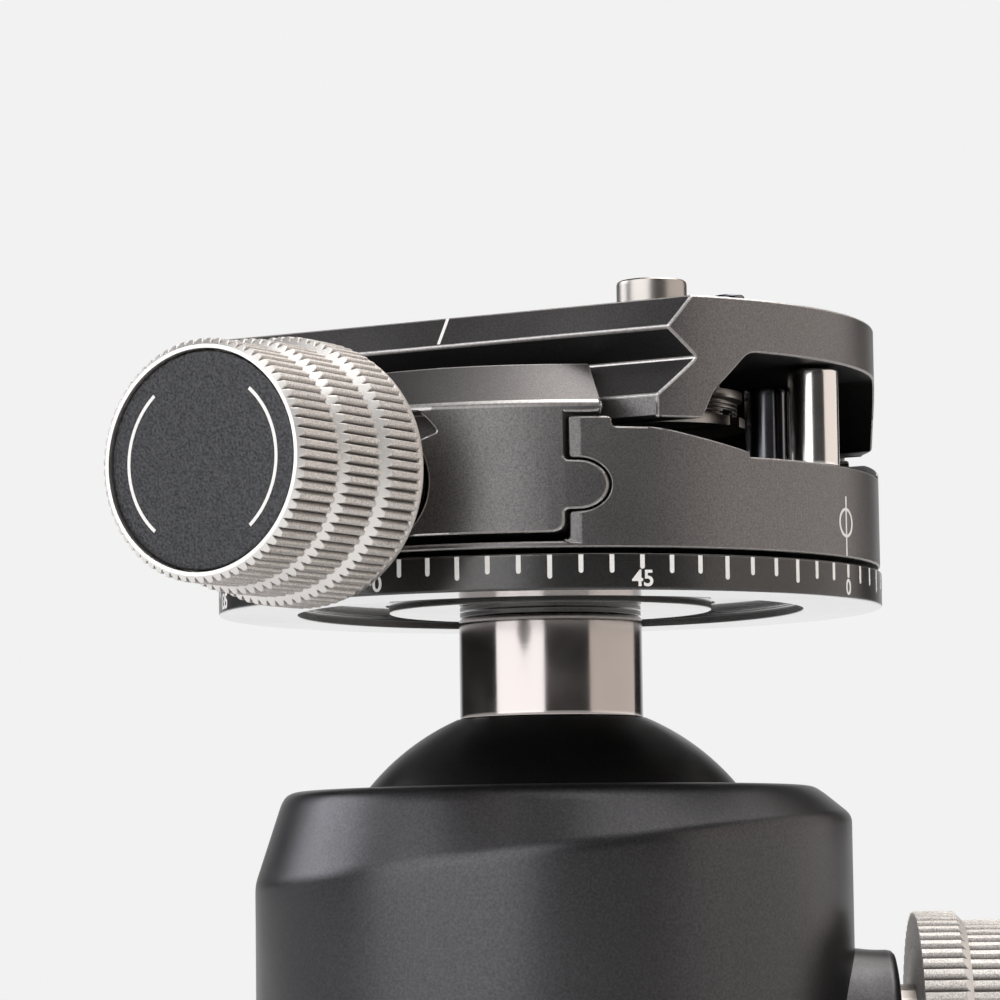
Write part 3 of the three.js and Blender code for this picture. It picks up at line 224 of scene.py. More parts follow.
@dataclass(frozen=True)
class MouldedPiece(Finish):
    """Moulded polymer, rubber or paint: no metal, with a fine texture from the mould."""

    roughness: float = 0.5
    grain: float = 0.4
    grain_height: float = 0.02
    specular: float = 0.5

    def pattern(self, tree: bpy.types.NodeTree, place: bpy.types.NodeSocket) -> dict:
        """Varies the tone by the grain and lifts it."""
        grain = add_node(tree, "TexNoise", None, {"Vector": place, "Scale": 1 / (self.grain * MM), "Detail": 3.0})
        dark, light = ((*[share * value for value in linear(self.colour)[:3]], 1.0) for share in (0.85, 1.1))
        tint = add_node(tree, "Mix", {"data_type": "RGBA"}, {"Factor": grain.outputs[0], 6: dark, 7: light})
        bump = add_node(tree, "Bump", None, {"Height": grain.outputs[0], "Distance": self.grain_height * MM})
        return {"Base Color": tint, "Normal": bump, "Roughness": self.roughness, "Specular IOR Level": self.specular}


@dataclass(frozen=True)
class FlutedSilver(Finish):
    """Silver anodised aluminium: blasted lands, paler smooth cuts where the attribute bright is one, and grooves
    darkened as painted shade where it falls below zero.
    """

    grain_colour: str = "#98938e"
    # colour of the painted shade at a groove's bottom
    groove: str = "#4a4643"
    cut: str = "#cfccc8"
    grain: float = 0.13
    grain_height: float = 0.03

    def pattern(self, tree: bpy.types.NodeTree, place: bpy.types.NodeSocket) -> dict:
        """Darkens the lands' tone towards the groove colour as painted shade where bright falls to minus one, in a
        groove, and takes the cut's where it is one.
        """
        grain = add_node(tree, "TexNoise", None, {"Vector": place, "Scale": 1 / (self.grain * MM), "Detail": 2.5})
        bright = add_node(tree, "Attribute", {"attribute_name": "bright"}).outputs["Fac"]
        spread = add_node(tree, "MapRange", None, {0: grain.outputs[0], "From Min": 0.32, "From Max": 0.62})
        tint = add_node(tree, "Mix", {"data_type": "RGBA"},
                        {"Factor": spread, 6: linear(self.grain_colour), 7: linear(self.colour)})
        depth = add_node(tree, "MapRange", None, {0: bright, "From Min": -0.15, "From Max": -1.0, "To Max": 0.85})
        groove_shaded = add_node(tree, "Mix", {"data_type": "RGBA"}, {"Factor": depth, 6: tint, 7: linear(self.groove)})
        whole = add_node(tree, "Mix", {"data_type": "RGBA"}, {"Factor": bright, 6: groove_shaded, 7: linear(self.cut)})
        rough = add_node(tree, "MapRange", None, {0: bright, "To Min": 0.55, "To Max": 0.45})
        bump = add_node(tree, "Bump", None, {"Height": grain.outputs[0], "Distance": self.grain_height * MM})
        return {"Base Color": whole, "Roughness": rough, "Normal": bump, "Metallic": 0.85}


# The clamp and plate: a warm matt grey, darker as painted shade on faces hidden under the plate, and pale edges of bare
# metal, kept lit as painted highlight or dimmed as painted shade by the way each chamfer faces
DARK_GREY = BlastedAnodising("dark grey blasted anodising", "#6d6a69", "#565454", roughness=0.37)
# a darker copy of the grey as painted shade on faces under the plate and in the channel
PAINTED_SHADE_GREY = BlastedAnodising("dark anodising with painted shade on hidden faces", "#333232", "#2a2929", roughness=0.45)
# pale edge colour: bare metal, brightened as a painted highlight
LIT_EDGE_GREY = BlastedAnodising("pale grey edge with painted highlight", "#c9c5c2", "#b0acaa", roughness=0.4, grain=0.3)
# a dimmer copy of the edge colour as painted shade on chamfers that face away from the light
SHADED_EDGE_GREY = BlastedAnodising("dimmed grey edge in painted shade", "#8a8784", "#777472", roughness=0.42, grain=0.3)
# The scale ring: a smooth satin black, mirror-like below, with a fine pale line along its upper edge as a painted
# highlight
SCALE_BLACK = BlastedAnodising("satin black anodising of the scale", "#474645", "#3b3a39", roughness=0.27,
                               grain_height=0.003)
UNDER_BLACK = BlastedAnodising("lacquered black underside of the scale", "#4a4a4a", "#414141", roughness=0.14,
                               grain_height=0.0, coat=1.0)
SCALE_HIGHLIGHT_GREY = BlastedAnodising("painted highlight on the scale's upper edge", "#a8a4a1", "#928e8b", roughness=0.3, grain=0.3)
# The lower part: soft broad highlights on black
SATIN_BLACK = BlastedAnodising("satin black anodising of the housing", "#454445", "#383738", roughness=0.36,
                               grain=0.22, grain_height=0.004)
BALL_BLACK = BlastedAnodising("satin black anodising of the ball", "#333232", "#2a2929", roughness=0.34,
                              grain=0.2, grain_height=0.003)
# The knobs: a warm white frosted silver with smooth bright cuts, and a black cap that glitters
SILVER = BlastedAnodising("silver blasted anodising", "#cdc8c3", "#a09a95", grain=0.14, grain_height=0.02)
SILVER_CUT = BlastedAnodising("smooth cut silver anodising", "#c9c4bf", "#b3aea9", roughness=0.42, grain=0.3,
                              grain_height=0.004)
FLUTED = FlutedSilver("fluted silver anodising", "#cdc8c3")
CAP_BLACK = BlastedAnodising("sparkling black anodised cap", "#3c3c3d", "#222223", roughness=0.33, grain=0.22,
                             grain_height=0.05, metallic=0.85)
# Turned pieces: sharp light and dark stripes, softer on the screw, almost black on the pins
CHROME = TurnedMetal("polished chrome", "#d2ceca", roughness=0.16)
BRIGHT_NICKEL = TurnedMetal("satin nickel plating", "#99948f", roughness=0.3)
STEM_STEEL = TurnedMetal("dark polished nickel of the stem", "#97918e", roughness=0.13, ring_height=0.0006)
PLAIN_STEEL = TurnedMetal("turned steel", "#a09a95", roughness=0.3, ring_height=0.003)
BLACK_STEEL = TurnedMetal("glossy black nickel", "#68686c", roughness=0.2, stain_share=0.0)
BRASS = TurnedMetal("turned brass", "#b8944e", roughness=0.28, stain_colour="#9a7a3c")
# Soft pieces and paint: no shine to speak of
POLYMER = MouldedPiece("pale bearing polymer", "#d9d5cc")
RUBBER = MouldedPiece("black moulded rubber", "#1e1e1e", roughness=0.8, specular=0.3)
WHITE_MARK = MouldedPiece("white engraved paint", "#d6d3cf", roughness=0.6, grain=0.2, grain_height=0.004)


# Places and surfaces worked out with numpy

UNTURNED = np.eye(3)
TO_MINUS_Y = np.array([[1.0, 0, 0], [0, 0, -1.0], [0, 1.0, 0]])  # +Z becomes -Y
TO_PLUS_Y = np.array([[1.0, 0, 0], [0, 0, 1.0], [0, -1.0, 0]])   # +Z becomes +Y
OUTLINE_YZ = np.array([[0, 0, 1.0], [1.0, 0, 0], [0, 1.0, 0]])   # an outline in Y and Z, carried along X
OUTLINE_XZ = np.array([[1.0, 0, 0], [0, 0, 1.0], [0, 1.0, 0]])   # an outline in X and Z, carried along Y


@dataclass(frozen=True)
class Place:
    """Where a shape made about Z goes: a turn by a 3 by 3 matrix, then a shift in millimetres."""

    turn: np.ndarray
    shift: tuple[float, float, float]


def upper(x: float = 0.0, z: float = 0.0, turn: np.ndarray = UNTURNED) -> Place:
    """A place on the upper part, at x and at a height above the scale ring's lower edge."""
    return Place(turn, (x, 0.0, RING_Z + z))


def outward(azimuth: float, height: float) -> Place:
    """A place at a height, where +Z becomes the horizontal direction at an azimuth in degrees from +X."""
    a = math.radians(azimuth)
    turn = np.array([[0, -math.sin(a), math.cos(a)], [0, math.cos(a), math.sin(a)], [-1.0, 0, 0]])
    return Place(turn, (0.0, 0.0, height))


ORIGIN = Place(UNTURNED, (0.0, 0.0, 0.0))
LOCK_AZIMUTH = 30.0
MAIN_LOCK = outward(LOCK_AZIMUTH, 35.7)
BASE_LOCK = outward(150.0, 12.4)
CLAMP_KNOB = upper(z=KNOB_Z, turn=TO_MINUS_Y)
PAN_LOCK = upper(z=7.2, turn=TO_PLUS_Y)


@dataclass
class Surface:
    """Points in millimetres, the faces between them, and at each point a share of bright cut metal, or below zero a
    share of painted shade in a groove.
    """

    points: np.ndarray
    faces: np.ndarray | list
    bright: np.ndarray | None = None

    def placed(self, place: Place) -> "Surface":
        """Returns the surface turned and shifted to a place."""
        return Surface(self.points @ place.turn.T + np.array(place.shift), self.faces, self.bright)


def join(*parts: Surface) -> Surface:
    """Returns surfaces as one set of points and faces, with zeros where a part has no bright share."""
    starts = np.cumsum([0] + [len(part.points) for part in parts])
    bright = None
    if any(part.bright is not None for part in parts):
        bright = np.concatenate([np.zeros(len(p.points)) if p.bright is None else p.bright for p in parts])
    faces = np.concatenate([part.faces + start for part, start in zip(parts, starts)])
    return Surface(np.concatenate([part.points for part in parts]), faces, bright)


def grid_surface(grid: np.ndarray, wrap_rows: bool = False, wrap_columns: bool = True,
                 bright: np.ndarray | None = None) -> Surface:
    """Joins a grid of points into quads.

    Args:
        grid: rows by columns by 3.
        wrap_rows: whether the last row joins the first.
        wrap_columns: whether the last column joins the first.
        bright: the share of bright metal, or below zero of painted shade, rows by columns.

    Returns:
        The surface, with quad (i, j) between rows i and i + 1 and columns j and j + 1.
    """
    rows, columns, _ = grid.shape
    i, j = np.meshgrid(np.arange(rows if wrap_rows else rows - 1),
                       np.arange(columns if wrap_columns else columns - 1), indexing="ij")
    next_i, next_j = (i + 1) % rows, (j + 1) % columns
    corners = [i * columns + j, i * columns + next_j, next_i * columns + next_j, next_i * columns + j]
    flat = None if bright is None else np.broadcast_to(bright, (rows, columns)).reshape(-1)
    return Surface(grid.reshape(-1, 3), np.stack(corners, -1).reshape(-1, 4), flat)


def polar(radius: np.ndarray, angle: np.ndarray, height: np.ndarray) -> np.ndarray:
    """Points at (radius cos angle, radius sin angle, height), with all three broadcast together."""
    return np.stack(np.broadcast_arrays(radius * np.cos(angle), radius * np.sin(angle), height), -1)


def soften(points: Sequence | np.ndarray, cuts: float | Sequence, steps: int = 3, closed: bool = False,
           support: float = 0.0) -> np.ndarray:
    """Rounds the corners of an outline or of a stack of outlines.

    A corner P gives way to the curve (1 - s)^2 A + 2 s (1 - s) P + s^2 B, with A and B on its two edges.

    Args:
        points: corners, in the last axis but one.
        cuts: how far A and B lie from P, at most 0.45 of the edge; one length, or one for each corner.
        steps: pieces of each curve.
        closed: whether the last corner joins the first; an open outline keeps its ends.
        support: share of a straight part at which it gets a point near each end, so that it is shaded flat.

    Returns:
        The same outline with its corners as curves.
    """
    corners = np.asarray(points, float)
    to_before = np.roll(corners, 1, axis=-2) - corners
    to_after = np.roll(corners, -1, axis=-2) - corners
    cut = np.array(np.broadcast_to(np.asarray(cuts, float), corners.shape[-2:-1]))[:, None]
    if not closed:
        cut[[0, -1]] = 0.0
    start, end = (corners + edge * np.minimum(
        cut / np.maximum(np.linalg.norm(edge, axis=-1, keepdims=True), 1e-9), 0.45) for edge in (to_before, to_after))
    s = np.linspace(0, 1, steps + 1)[:, None]
    curve = ((1 - s) ** 2 * start[..., None, :] + 2 * s * (1 - s) * corners[..., None, :]
             + s ** 2 * end[..., None, :])
    extra = 0
    if support > 0:
        shares = np.array([support, 1 - support])[:, None]
        straight = end[..., None, :] + shares * (np.roll(start, -1, axis=-2) - end)[..., None, :]
        curve = np.concatenate([curve, straight], axis=-2)
        extra = 2
    rounded = curve.reshape(*corners.shape[:-2], -1, corners.shape[-1])
    return rounded if closed else rounded[..., steps:rounded.shape[-2] - steps - extra, :]


def mirrored(half: Sequence | np.ndarray, cuts: Sequence[float], steps: int = 3) -> np.ndarray:
    """Mirrors half an outline, corner by corner, into a closed one and rounds its corners.

    Args:
        half: corners on the side where the first coordinate is positive.
        cuts: how much each of them is rounded.
        steps: pieces of each curve.

    Returns:
        The whole outline.
    """
    points = np.asarray(half, float)
    return soften(np.concatenate([points, (points * [-1, 1])[::-1]]), [*cuts, *reversed(cuts)], steps, closed=True)


def turned(profile: np.ndarray, steps: int = ROUND, closed: bool = False) -> Surface:
    """Turns a profile about Z: x = r cos a, y = r sin a, z = h.

    Args:
        profile: radii and heights.
        steps: steps round the circle.
        closed: whether the profile's end joins its start, as on a ring.

    Returns:
        The turned surface.
    """
    radius, height = np.asarray(profile, float).T[..., None]
    return grid_surface(polar(radius, np.linspace(0, 2 * np.pi, steps, endpoint=False), height), wrap_rows=closed)


def arc(radius: float, centre: tuple[float, float], start: float, end: float, steps: int) -> np.ndarray:
    """Points of a circle's arc: centre + radius (cos a, sin a), with a in degrees from start to end."""
    angle = np.radians(np.linspace(start, end, steps + 1))
    return np.stack([centre[0] + radius * np.cos(angle), centre[1] + radius * np.sin(angle)], -1)


# Objects, and what is done to them

def bare_object(name: str, surface: Surface) -> bpy.types.Object:
    """Makes a mesh object from a surface, with doubles merged and faces turned outwards, and links it."""
    mesh = bpy.data.meshes.new(name)
    faces = surface.faces if isinstance(surface.faces, list) else surface.faces.tolist()
    mesh.from_pydata((surface.points * MM).tolist(), [], faces)
    if surface.bright is not None:
        attribute = mesh.attributes.new("bright", "FLOAT", "POINT")
        attribute.data.foreach_set("value", surface.bright.astype(np.float32))
    shape = bmesh.new()
    shape.from_mesh(mesh)
    bmesh.ops.remove_doubles(shape, verts=shape.verts, dist=2e-7)
    bmesh.ops.recalc_face_normals(shape, faces=shape.faces)
    shape.to_mesh(mesh)
    shape.free()
    made = bpy.data.objects.new(name, mesh)
    bpy.context.scene.collection.objects.link(made)
    return made


def prism(name: str, outline: np.ndarray, start: float, end: float, place: Place) -> bpy.types.Object:
    """Carries a closed outline along Z, then puts it in its place.

    Args:
        name: the object's name.
        outline: x and y of its corners.
        start: height of the first end.
        end: height of the second end.
        place: where the solid goes.

    Returns:
        A closed solid with one face at each end.
    """
    flat = np.asarray(outline, float)
    flat = flat[np.linalg.norm(flat - np.roll(flat, 1, axis=0), axis=1) > 1e-4]
    count = len(flat)
    points = np.concatenate([np.column_stack([flat, np.full(count, height)]) for height in (start, end)])
    ring = np.arange(count)
    following = np.roll(ring, -1)
    sides = np.stack([ring, following, following + count, ring + count], -1)
    faces = [ring[::-1].tolist(), (ring + count).tolist(), *sides.tolist()]
    return bare_object(name, Surface(points, faces).placed(place))


def block(name: str, low: Sequence[float], high: Sequence[float]) -> bpy.types.Object:
    """A box on the upper part between two corners, as a cutting tool."""
    outline = np.array([[low[0], low[1]], [high[0], low[1]], [high[0], high[1]], [low[0], high[1]]])
    return prism(name, outline, low[2], high[2], upper())


def rod(name: str, radius: float, start: float, end: float, place: Place = upper(),
        steps: int = SMALL_ROUND) -> bpy.types.Object:
    """A round bar along Z, put in its place, as a cutting tool."""
    return prism(name, arc(radius, (0, 0), 0, 360, steps)[:-1], start, end, place)


def settle(obj: bpy.types.Object) -> None:
    """Replaces an object's mesh by what its modifiers make of it, and removes them."""
    graph = bpy.context.evaluated_depsgraph_get()
    graph.update()
    old = obj.data
    obj.data = bpy.data.meshes.new_from_object(obj.evaluated_get(graph), depsgraph=graph)
    obj.modifiers.clear()
    bpy.data.meshes.remove(old)


def combine(base: bpy.types.Object, how: Cut, *tools: bpy.types.Object) -> bpy.types.Object:
    """Cuts or joins solids.

    Args:
        base: the solid that is changed.
        how: what each tool does to it.
        tools: solids that are used up.

    Returns:
        The base.
    """
    for tool in tools:
        step = base.modifiers.new("step", "BOOLEAN")
        step.operation = how.value
        step.solver = "EXACT"
        step.object = tool
    settle(base)
    for tool in tools:
        mesh = tool.data
        bpy.data.objects.remove(tool)
        bpy.data.meshes.remove(mesh)
    return base


def tidy_solid(obj: bpy.types.Object, gap: float = 0.04) -> None:
    """Merges points of a cut solid closer than the gap in millimetres, and faces that lie in one plane."""
    shape = bmesh.new()
    shape.from_mesh(obj.data)
    bmesh.ops.remove_doubles(shape, verts=shape.verts, dist=gap * MM)
    bmesh.ops.dissolve_degenerate(shape, edges=shape.edges, dist=gap * MM)
    bmesh.ops.dissolve_limit(shape, angle_limit=math.radians(0.4), verts=shape.verts, edges=shape.edges,
                             delimit={"MATERIAL"})
    shape.to_mesh(obj.data)
    shape.free()


Test = Callable[[np.ndarray, np.ndarray], np.ndarray]


def facing(low: float, high: float) -> Test:
    """Returns a test that is true for faces whose normal's Z lies between two values."""
    return lambda centres, normals: (normals[:, 2] > low) & (normals[:, 2] < high)


def paint_faces(obj: bpy.types.Object, chosen: Test, index: int = 1, only: int = 0) -> None:
    """Gives faces another of the object's materials.

    Args:
        obj: the object.
        chosen: takes the faces' centres in millimetres and their normals, and returns True for those to change.
        index: the material's index.
        only: index of the material that a face has now, or it is left alone.
    """
    faces = obj.data.polygons
    centres, normals = np.zeros((2, len(faces) * 3), np.float32)
    indices = np.zeros(len(faces), np.int32)
    faces.foreach_get("center", centres)
    faces.foreach_get("normal", normals)
    faces.foreach_get("material_index", indices)
    hit = chosen(centres.reshape(-1, 3) / MM, normals.reshape(-1, 3)) & (indices == only)
    faces.foreach_set("material_index", np.where(hit, index, indices).astype(np.int32))


def break_edges(obj: bpy.types.Object, low: float, high: float) -> None:
    """Gives sharp edges a narrow chamfer in the object's second material.

    Args:
        obj: the object.
        low: a chamfer whose normal's Z lies between this and the next gets the object's third material, a dimmer copy
        of the second as painted shade; the others keep the second's pale edge as painted highlight.
        high: the upper end of that range.
    """
    bevel = obj.modifiers.new("broken edges", "BEVEL")
    bevel.width = BROKEN_EDGE * MM
    bevel.segments = 2
    bevel.limit_method = "ANGLE"
    bevel.angle_limit = math.radians(28.0)
    bevel.miter_outer = "MITER_ARC"
    bevel.use_clamp_overlap = False
    bevel.material = 1
    settle(obj)
    # chamfers facing within the range take the dimmer copy as painted shade, the rest keep the pale edge as painted
    # highlight
    paint_faces(obj, facing(low, high), 2, only=1)
    obj.modifiers.new("shading", "WEIGHTED_NORMAL").keep_sharp = True


def dress(obj: bpy.types.Object, body: Body, slot: str, *finishes: Finish, node: str = "",
          angle: float = 38.0) -> bpy.types.Object:
    """Gives a piece its finishes and its body, and hides the node that it stands for.

    Args:
        obj: the piece.
        body: the CAD body that it rides on.
        slot: the record's material slot; not used.
        finishes: materials in the order of their indices.
        node: the CAD node that it replaces.
        angle: the largest turn in degrees that is shaded smooth.

    Returns:
        The piece.
    """
    mesh = obj.data
    mesh.materials.clear()
    for finish in finishes:
        mesh.materials.append(finish.material())
    mesh.polygons.foreach_set("use_smooth", np.ones(len(mesh.polygons), dtype=bool))
    mesh.set_sharp_from_angle(angle=math.radians(angle))
    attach(obj, body.value)
    if node:
        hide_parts(node)
    log.info("%s: %d faces on %s", obj.name, len(mesh.polygons), body.value)
    return obj


def painted(name: str, marks: Surface, body: Body, slot: str) -> None:
    """Makes marks in white paint on a body."""
    dress(bare_object(name, marks), body, slot, WHITE_MARK, angle=20.0)


def lathe_piece(name: str, corners: Sequence, cuts: float | Sequence, body: Body, slot: str, finish: Finish,
                node: str = "", place: Place = upper(), closed: bool = False,
                steps: int = ROUND) -> bpy.types.Object:
    """Makes a turned piece with rounded corners.

    Args:
        name: the piece's name.
        corners: radii and heights of its profile.
        cuts: how much each corner is rounded.
        body: the CAD body that it rides on.
        slot: the record's material slot.
        finish: its material.
        node: the CAD node that it replaces.
        place: where it goes.
        closed: whether the profile closes on itself, as on a ring.
        steps: steps round the circle.

    Returns:
        The piece.
    """
    surface = turned(soften(corners, cuts, closed=closed, support=0.04), steps, closed).placed(place)
    return dress(bare_object(name, surface), body, slot, finish, node=node, angle=50.0)


# Knobs with straight flutes

@dataclass(frozen=True)
class Band:
    """One fluted band of a knob, between two distances from the knob's foot, with a cone at its front edge."""

    start: float
    end: float
    radius: float
    front: float
    front_length: float


@dataclass
class FlutedKnob:
    """A knob with fluted bands that step down in diameter, each with a smooth cut cone at its front."""

    name: str
    bands: Sequence[Band]
    inner_radius: float
    pitch: float
    depth: float
    place: Place
    land_share: float = 0.52      # of a flute's pitch that stays at full radius
    columns_per_flute: int = 10

    def band_surface(self, band: Band) -> Surface:
        """Makes one band.

        The radius at angle a is the smaller of the flute's and the front cone's. A flute's groove is
        depth times a V across the part of the pitch that isn't land, with a rounded bottom.

        Args:
            band: its sizes.

        Returns:
            A closed ring from the inner radius out to the flutes.
        """
        columns = round(2 * math.pi * band.radius / self.pitch) * self.columns_per_flute
        phase = np.arange(columns) / self.columns_per_flute % 1.0
        across = np.abs(phase - 0.5) / (0.5 * (1 - self.land_share))
        groove = np.clip(1 - across, 0, 1) ** 0.8
        crown = 0.12 * self.depth * (2 * np.abs(phase - 0.5) - 1) ** 2
        outer = band.radius - self.depth * groove - crown
        shoulder = band.end - band.front_length
        body = np.linspace(band.start, shoulder, 3)
        cone = np.linspace(shoulder, band.end, 9)[1:]
        height = np.concatenate([body[:1], body, cone, cone[-1:]])[:, None]
        drop = np.clip((height - shoulder) / band.front_length, 0, 1)
        limit = band.radius - drop * (band.radius - band.front)
        radius = np.minimum(outer, limit)
        # below zero, bright carries the painted shade of the groove, deeper in the groove's middle
        bright = np.where((outer > limit - 0.01) & (drop > 0), 1.0, -groove)
        radius[[0, -1]] = self.inner_radius
        bright[-1] = 1.0
        angle = np.linspace(0, 2 * np.pi, columns, endpoint=False)
        return grid_surface(polar(radius, angle, height), wrap_rows=True, bright=bright)

    def dish(self, rim: float, sink: float) -> Surface:
        """A round core from the knob's foot to a dished face, which is bright, with its rim in the last band."""
        foot, top = self.bands[0].start, self.bands[-1].end
        profile = soften([(0, foot), (rim, foot), (rim, top - 0.02), (rim - 1.6 * sink, top - sink), (0, top - sink)],
                         [0, 0.1, 0.1, sink, 0], support=0.04)
        core = turned(profile, SMALL_ROUND)
        core.bright = (core.points[:, 2] > top - sink - 0.01).astype(float)
        return core

    def build(self, core: Surface, body: Body, node: str) -> None:
        """Makes the knob from its bands and its core.

        Args:
            core: what fills it, in the knob's own frame.
            body: the CAD body that it rides on.
            node: the CAD node that it replaces.
        """
        whole = join(*[self.band_surface(band) for band in self.bands], core).placed(self.place)
        dress(bare_object(self.name, whole), body, "silver", FLUTED, node=node, angle=34.0)


# Sub-assemblies

@dataclass
class InnerPieces:
    """CAD nodes whose shape is right as it is and that only need their finishes."""

    def build(self) -> None:
        """Gives every CAD node the finish of its slot."""
        finishes = {
            "plain_steel": PLAIN_STEEL, "brass": BRASS, "polymer": POLYMER, "rubber": RUBBER, "bright_steel": CHROME,
            "black_steel": BLACK_STEEL, "silver": SILVER, "black_anodised": SCALE_BLACK, "satin_black": SATIN_BLACK,
            "grey_anodised": DARK_GREY,
        }
        slots = {row["node"]: row["material_slot"] for row in frame["record"]["subparts"]}
        for name, node in frame["nodes"].items():
            node.data.materials.clear()
            node.data.materials.append(finishes[slots[name]].material())


@dataclass
class Base:
    """The turned base with its rubber pad and the tripod's bush."""

    radius: float = 26.9
    height: float = 8.0
    groove: float = 0.35
    pad_inner: float = 13.0
    pad_outer: float = 23.5
    pad_height: float = 1.2
    pad_groove: float = 0.12
    pad_pitch: float = 1.7         # between its grooves
    play: float = 0.3
    hub: float = 10.8
    hub_top: float = 15.9
    bush: float = 7.0
    bush_depth: float = 10.0
    socket: float = 4.76
    socket_depth: float = 9.3
    screw_bore: float = 2.5
    thread_pitch: float = 1.5875   # sixteen threads to the inch
    thread_depth: float = 0.55

    def build(self) -> None:
        """Makes the disc, the pad and the bush."""
        band, bush, bush_top = self.height / 2, self.bush + 0.1, self.bush_depth + 0.1
        inner, outer = self.pad_inner - self.play, self.pad_outer + self.play
        lathe_piece("base_shell", [
            (bush, 0), (inner, 0), (inner, self.pad_height), (outer, self.pad_height), (outer, 0), (self.radius, 0),
            (self.radius, band - self.groove), (self.radius - self.groove, band), (self.radius, band + self.groove),
            (self.radius, self.height), (self.hub, self.height), (self.hub, self.hub_top),
            (self.screw_bore, self.hub_top), (self.screw_bore, bush_top), (bush, bush_top),
        ], 0.35, Body.BASE, "black_anodised", SATIN_BLACK, "base_disc", ORIGIN, closed=True)
        self.build_pad()
        self.build_bush()

    def build_pad(self) -> None:
        """Makes the rubber pad with shallow concentric grooves: height dips by a cosine of the radius."""
        edge = 0.3
        radius = np.linspace(self.pad_inner + edge, self.pad_outer - edge, 60)
        low = self.pad_groove * (1 - np.cos(2 * np.pi * (radius - radius[0]) / self.pad_pitch)) / 2
        top = np.array([[self.pad_outer, edge], [self.pad_outer, self.pad_height],
                        [self.pad_inner, self.pad_height], [self.pad_inner, edge]])
        surface = turned(np.concatenate([np.stack([radius, low], -1), top]), closed=True)
        dress(bare_object("base_rubber", surface), Body.BASE, "rubber", RUBBER, node="base_pad")

    def build_bush(self) -> None:
        """Makes the bush with the ridges of its thread as rings of one pitch."""
        along = np.arange(int(self.socket_depth / self.thread_pitch) * 2 + 1)
        wall = np.stack([self.socket - self.thread_depth * (along % 2), along * self.thread_pitch / 2], -1)
        surface = turned(np.array([(0, self.bush_depth), (self.bush, self.bush_depth), (self.bush, 0), *wall,
                                   (self.socket, self.socket_depth), (0, self.socket_depth)]), SMALL_ROUND)
        dress(bare_object("tripod_socket_bush", surface), Body.BASE, "plain_steel", PLAIN_STEEL, node="tripod_bush",
              angle=30.0)


@dataclass
class Housing:
    """The cylinder that holds the ball, with a sloping shoulder that is shallow on the lock's side."""

    wall: float = 26.9
    bottom: float = 8.4
    top: float = 60.1
    top_radius: float = 24.35
    top_round: float = 1.0
    shoulder: float = 5.5
    swing: float = 2.8
    mouth: float = 17.3
    lip: float = 18.9
    lip_drop: float = 2.6
    bore: float = 23.25
    boss: float = 9.6
    boss_reach: float = 30.5
    screw_bore: float = 4.1
    liner: float = 20.2
    sink: float = 0.5            # how far the boss starts inside the wall

    def build(self) -> None:
        """Makes the housing's shell and the boss of its lock."""
        angle = np.linspace(0, 2 * np.pi, ROUND, endpoint=False)
        fall = self.shoulder - self.swing * np.cos(angle - math.radians(LOCK_AZIMUTH))
        under = self.top - self.lip_drop
        tiers = [
            (self.bore, self.bottom), (self.wall, self.bottom), (self.wall, self.top - fall),
            (self.top_radius, self.top - self.top_round * 0.6), (self.top_radius - self.top_round, self.top),
            (self.mouth, self.top), (self.mouth + 0.2, self.top - 0.9), (self.lip, under),
            (self.liner, under), (self.bore, under - 5), (self.bore, BALL_Z - 14),
        ]
        corners = np.stack([np.stack(np.broadcast_arrays(r + 0 * angle, z), -1) for r, z in tiers], 1)
        cuts = [0.3, 0.5, 0.7, 1.0, 1.0, 0.5, 0.4, 0.2, 0.3, 1.0, 0.3]
        profile = soften(corners, cuts, steps=5, closed=True, support=0.04)
        grid = polar(profile[..., 0].T, angle, profile[..., 1].T)
        shell = bare_object("housing_shell", grid_surface(grid, wrap_rows=True))
        dress(shell, Body.HOUSING, "satin_black", SATIN_BLACK, node="housing", angle=60.0)
        lathe_piece("lock_boss", [
            (self.screw_bore, self.bore + self.sink), (self.boss + 0.6, self.bore + self.sink),
            (self.boss, self.wall + 1.5), (self.boss, self.boss_reach), (self.screw_bore, self.boss_reach),
        ], 0.8, Body.HOUSING, "satin_black", SATIN_BLACK, place=MAIN_LOCK, closed=True)


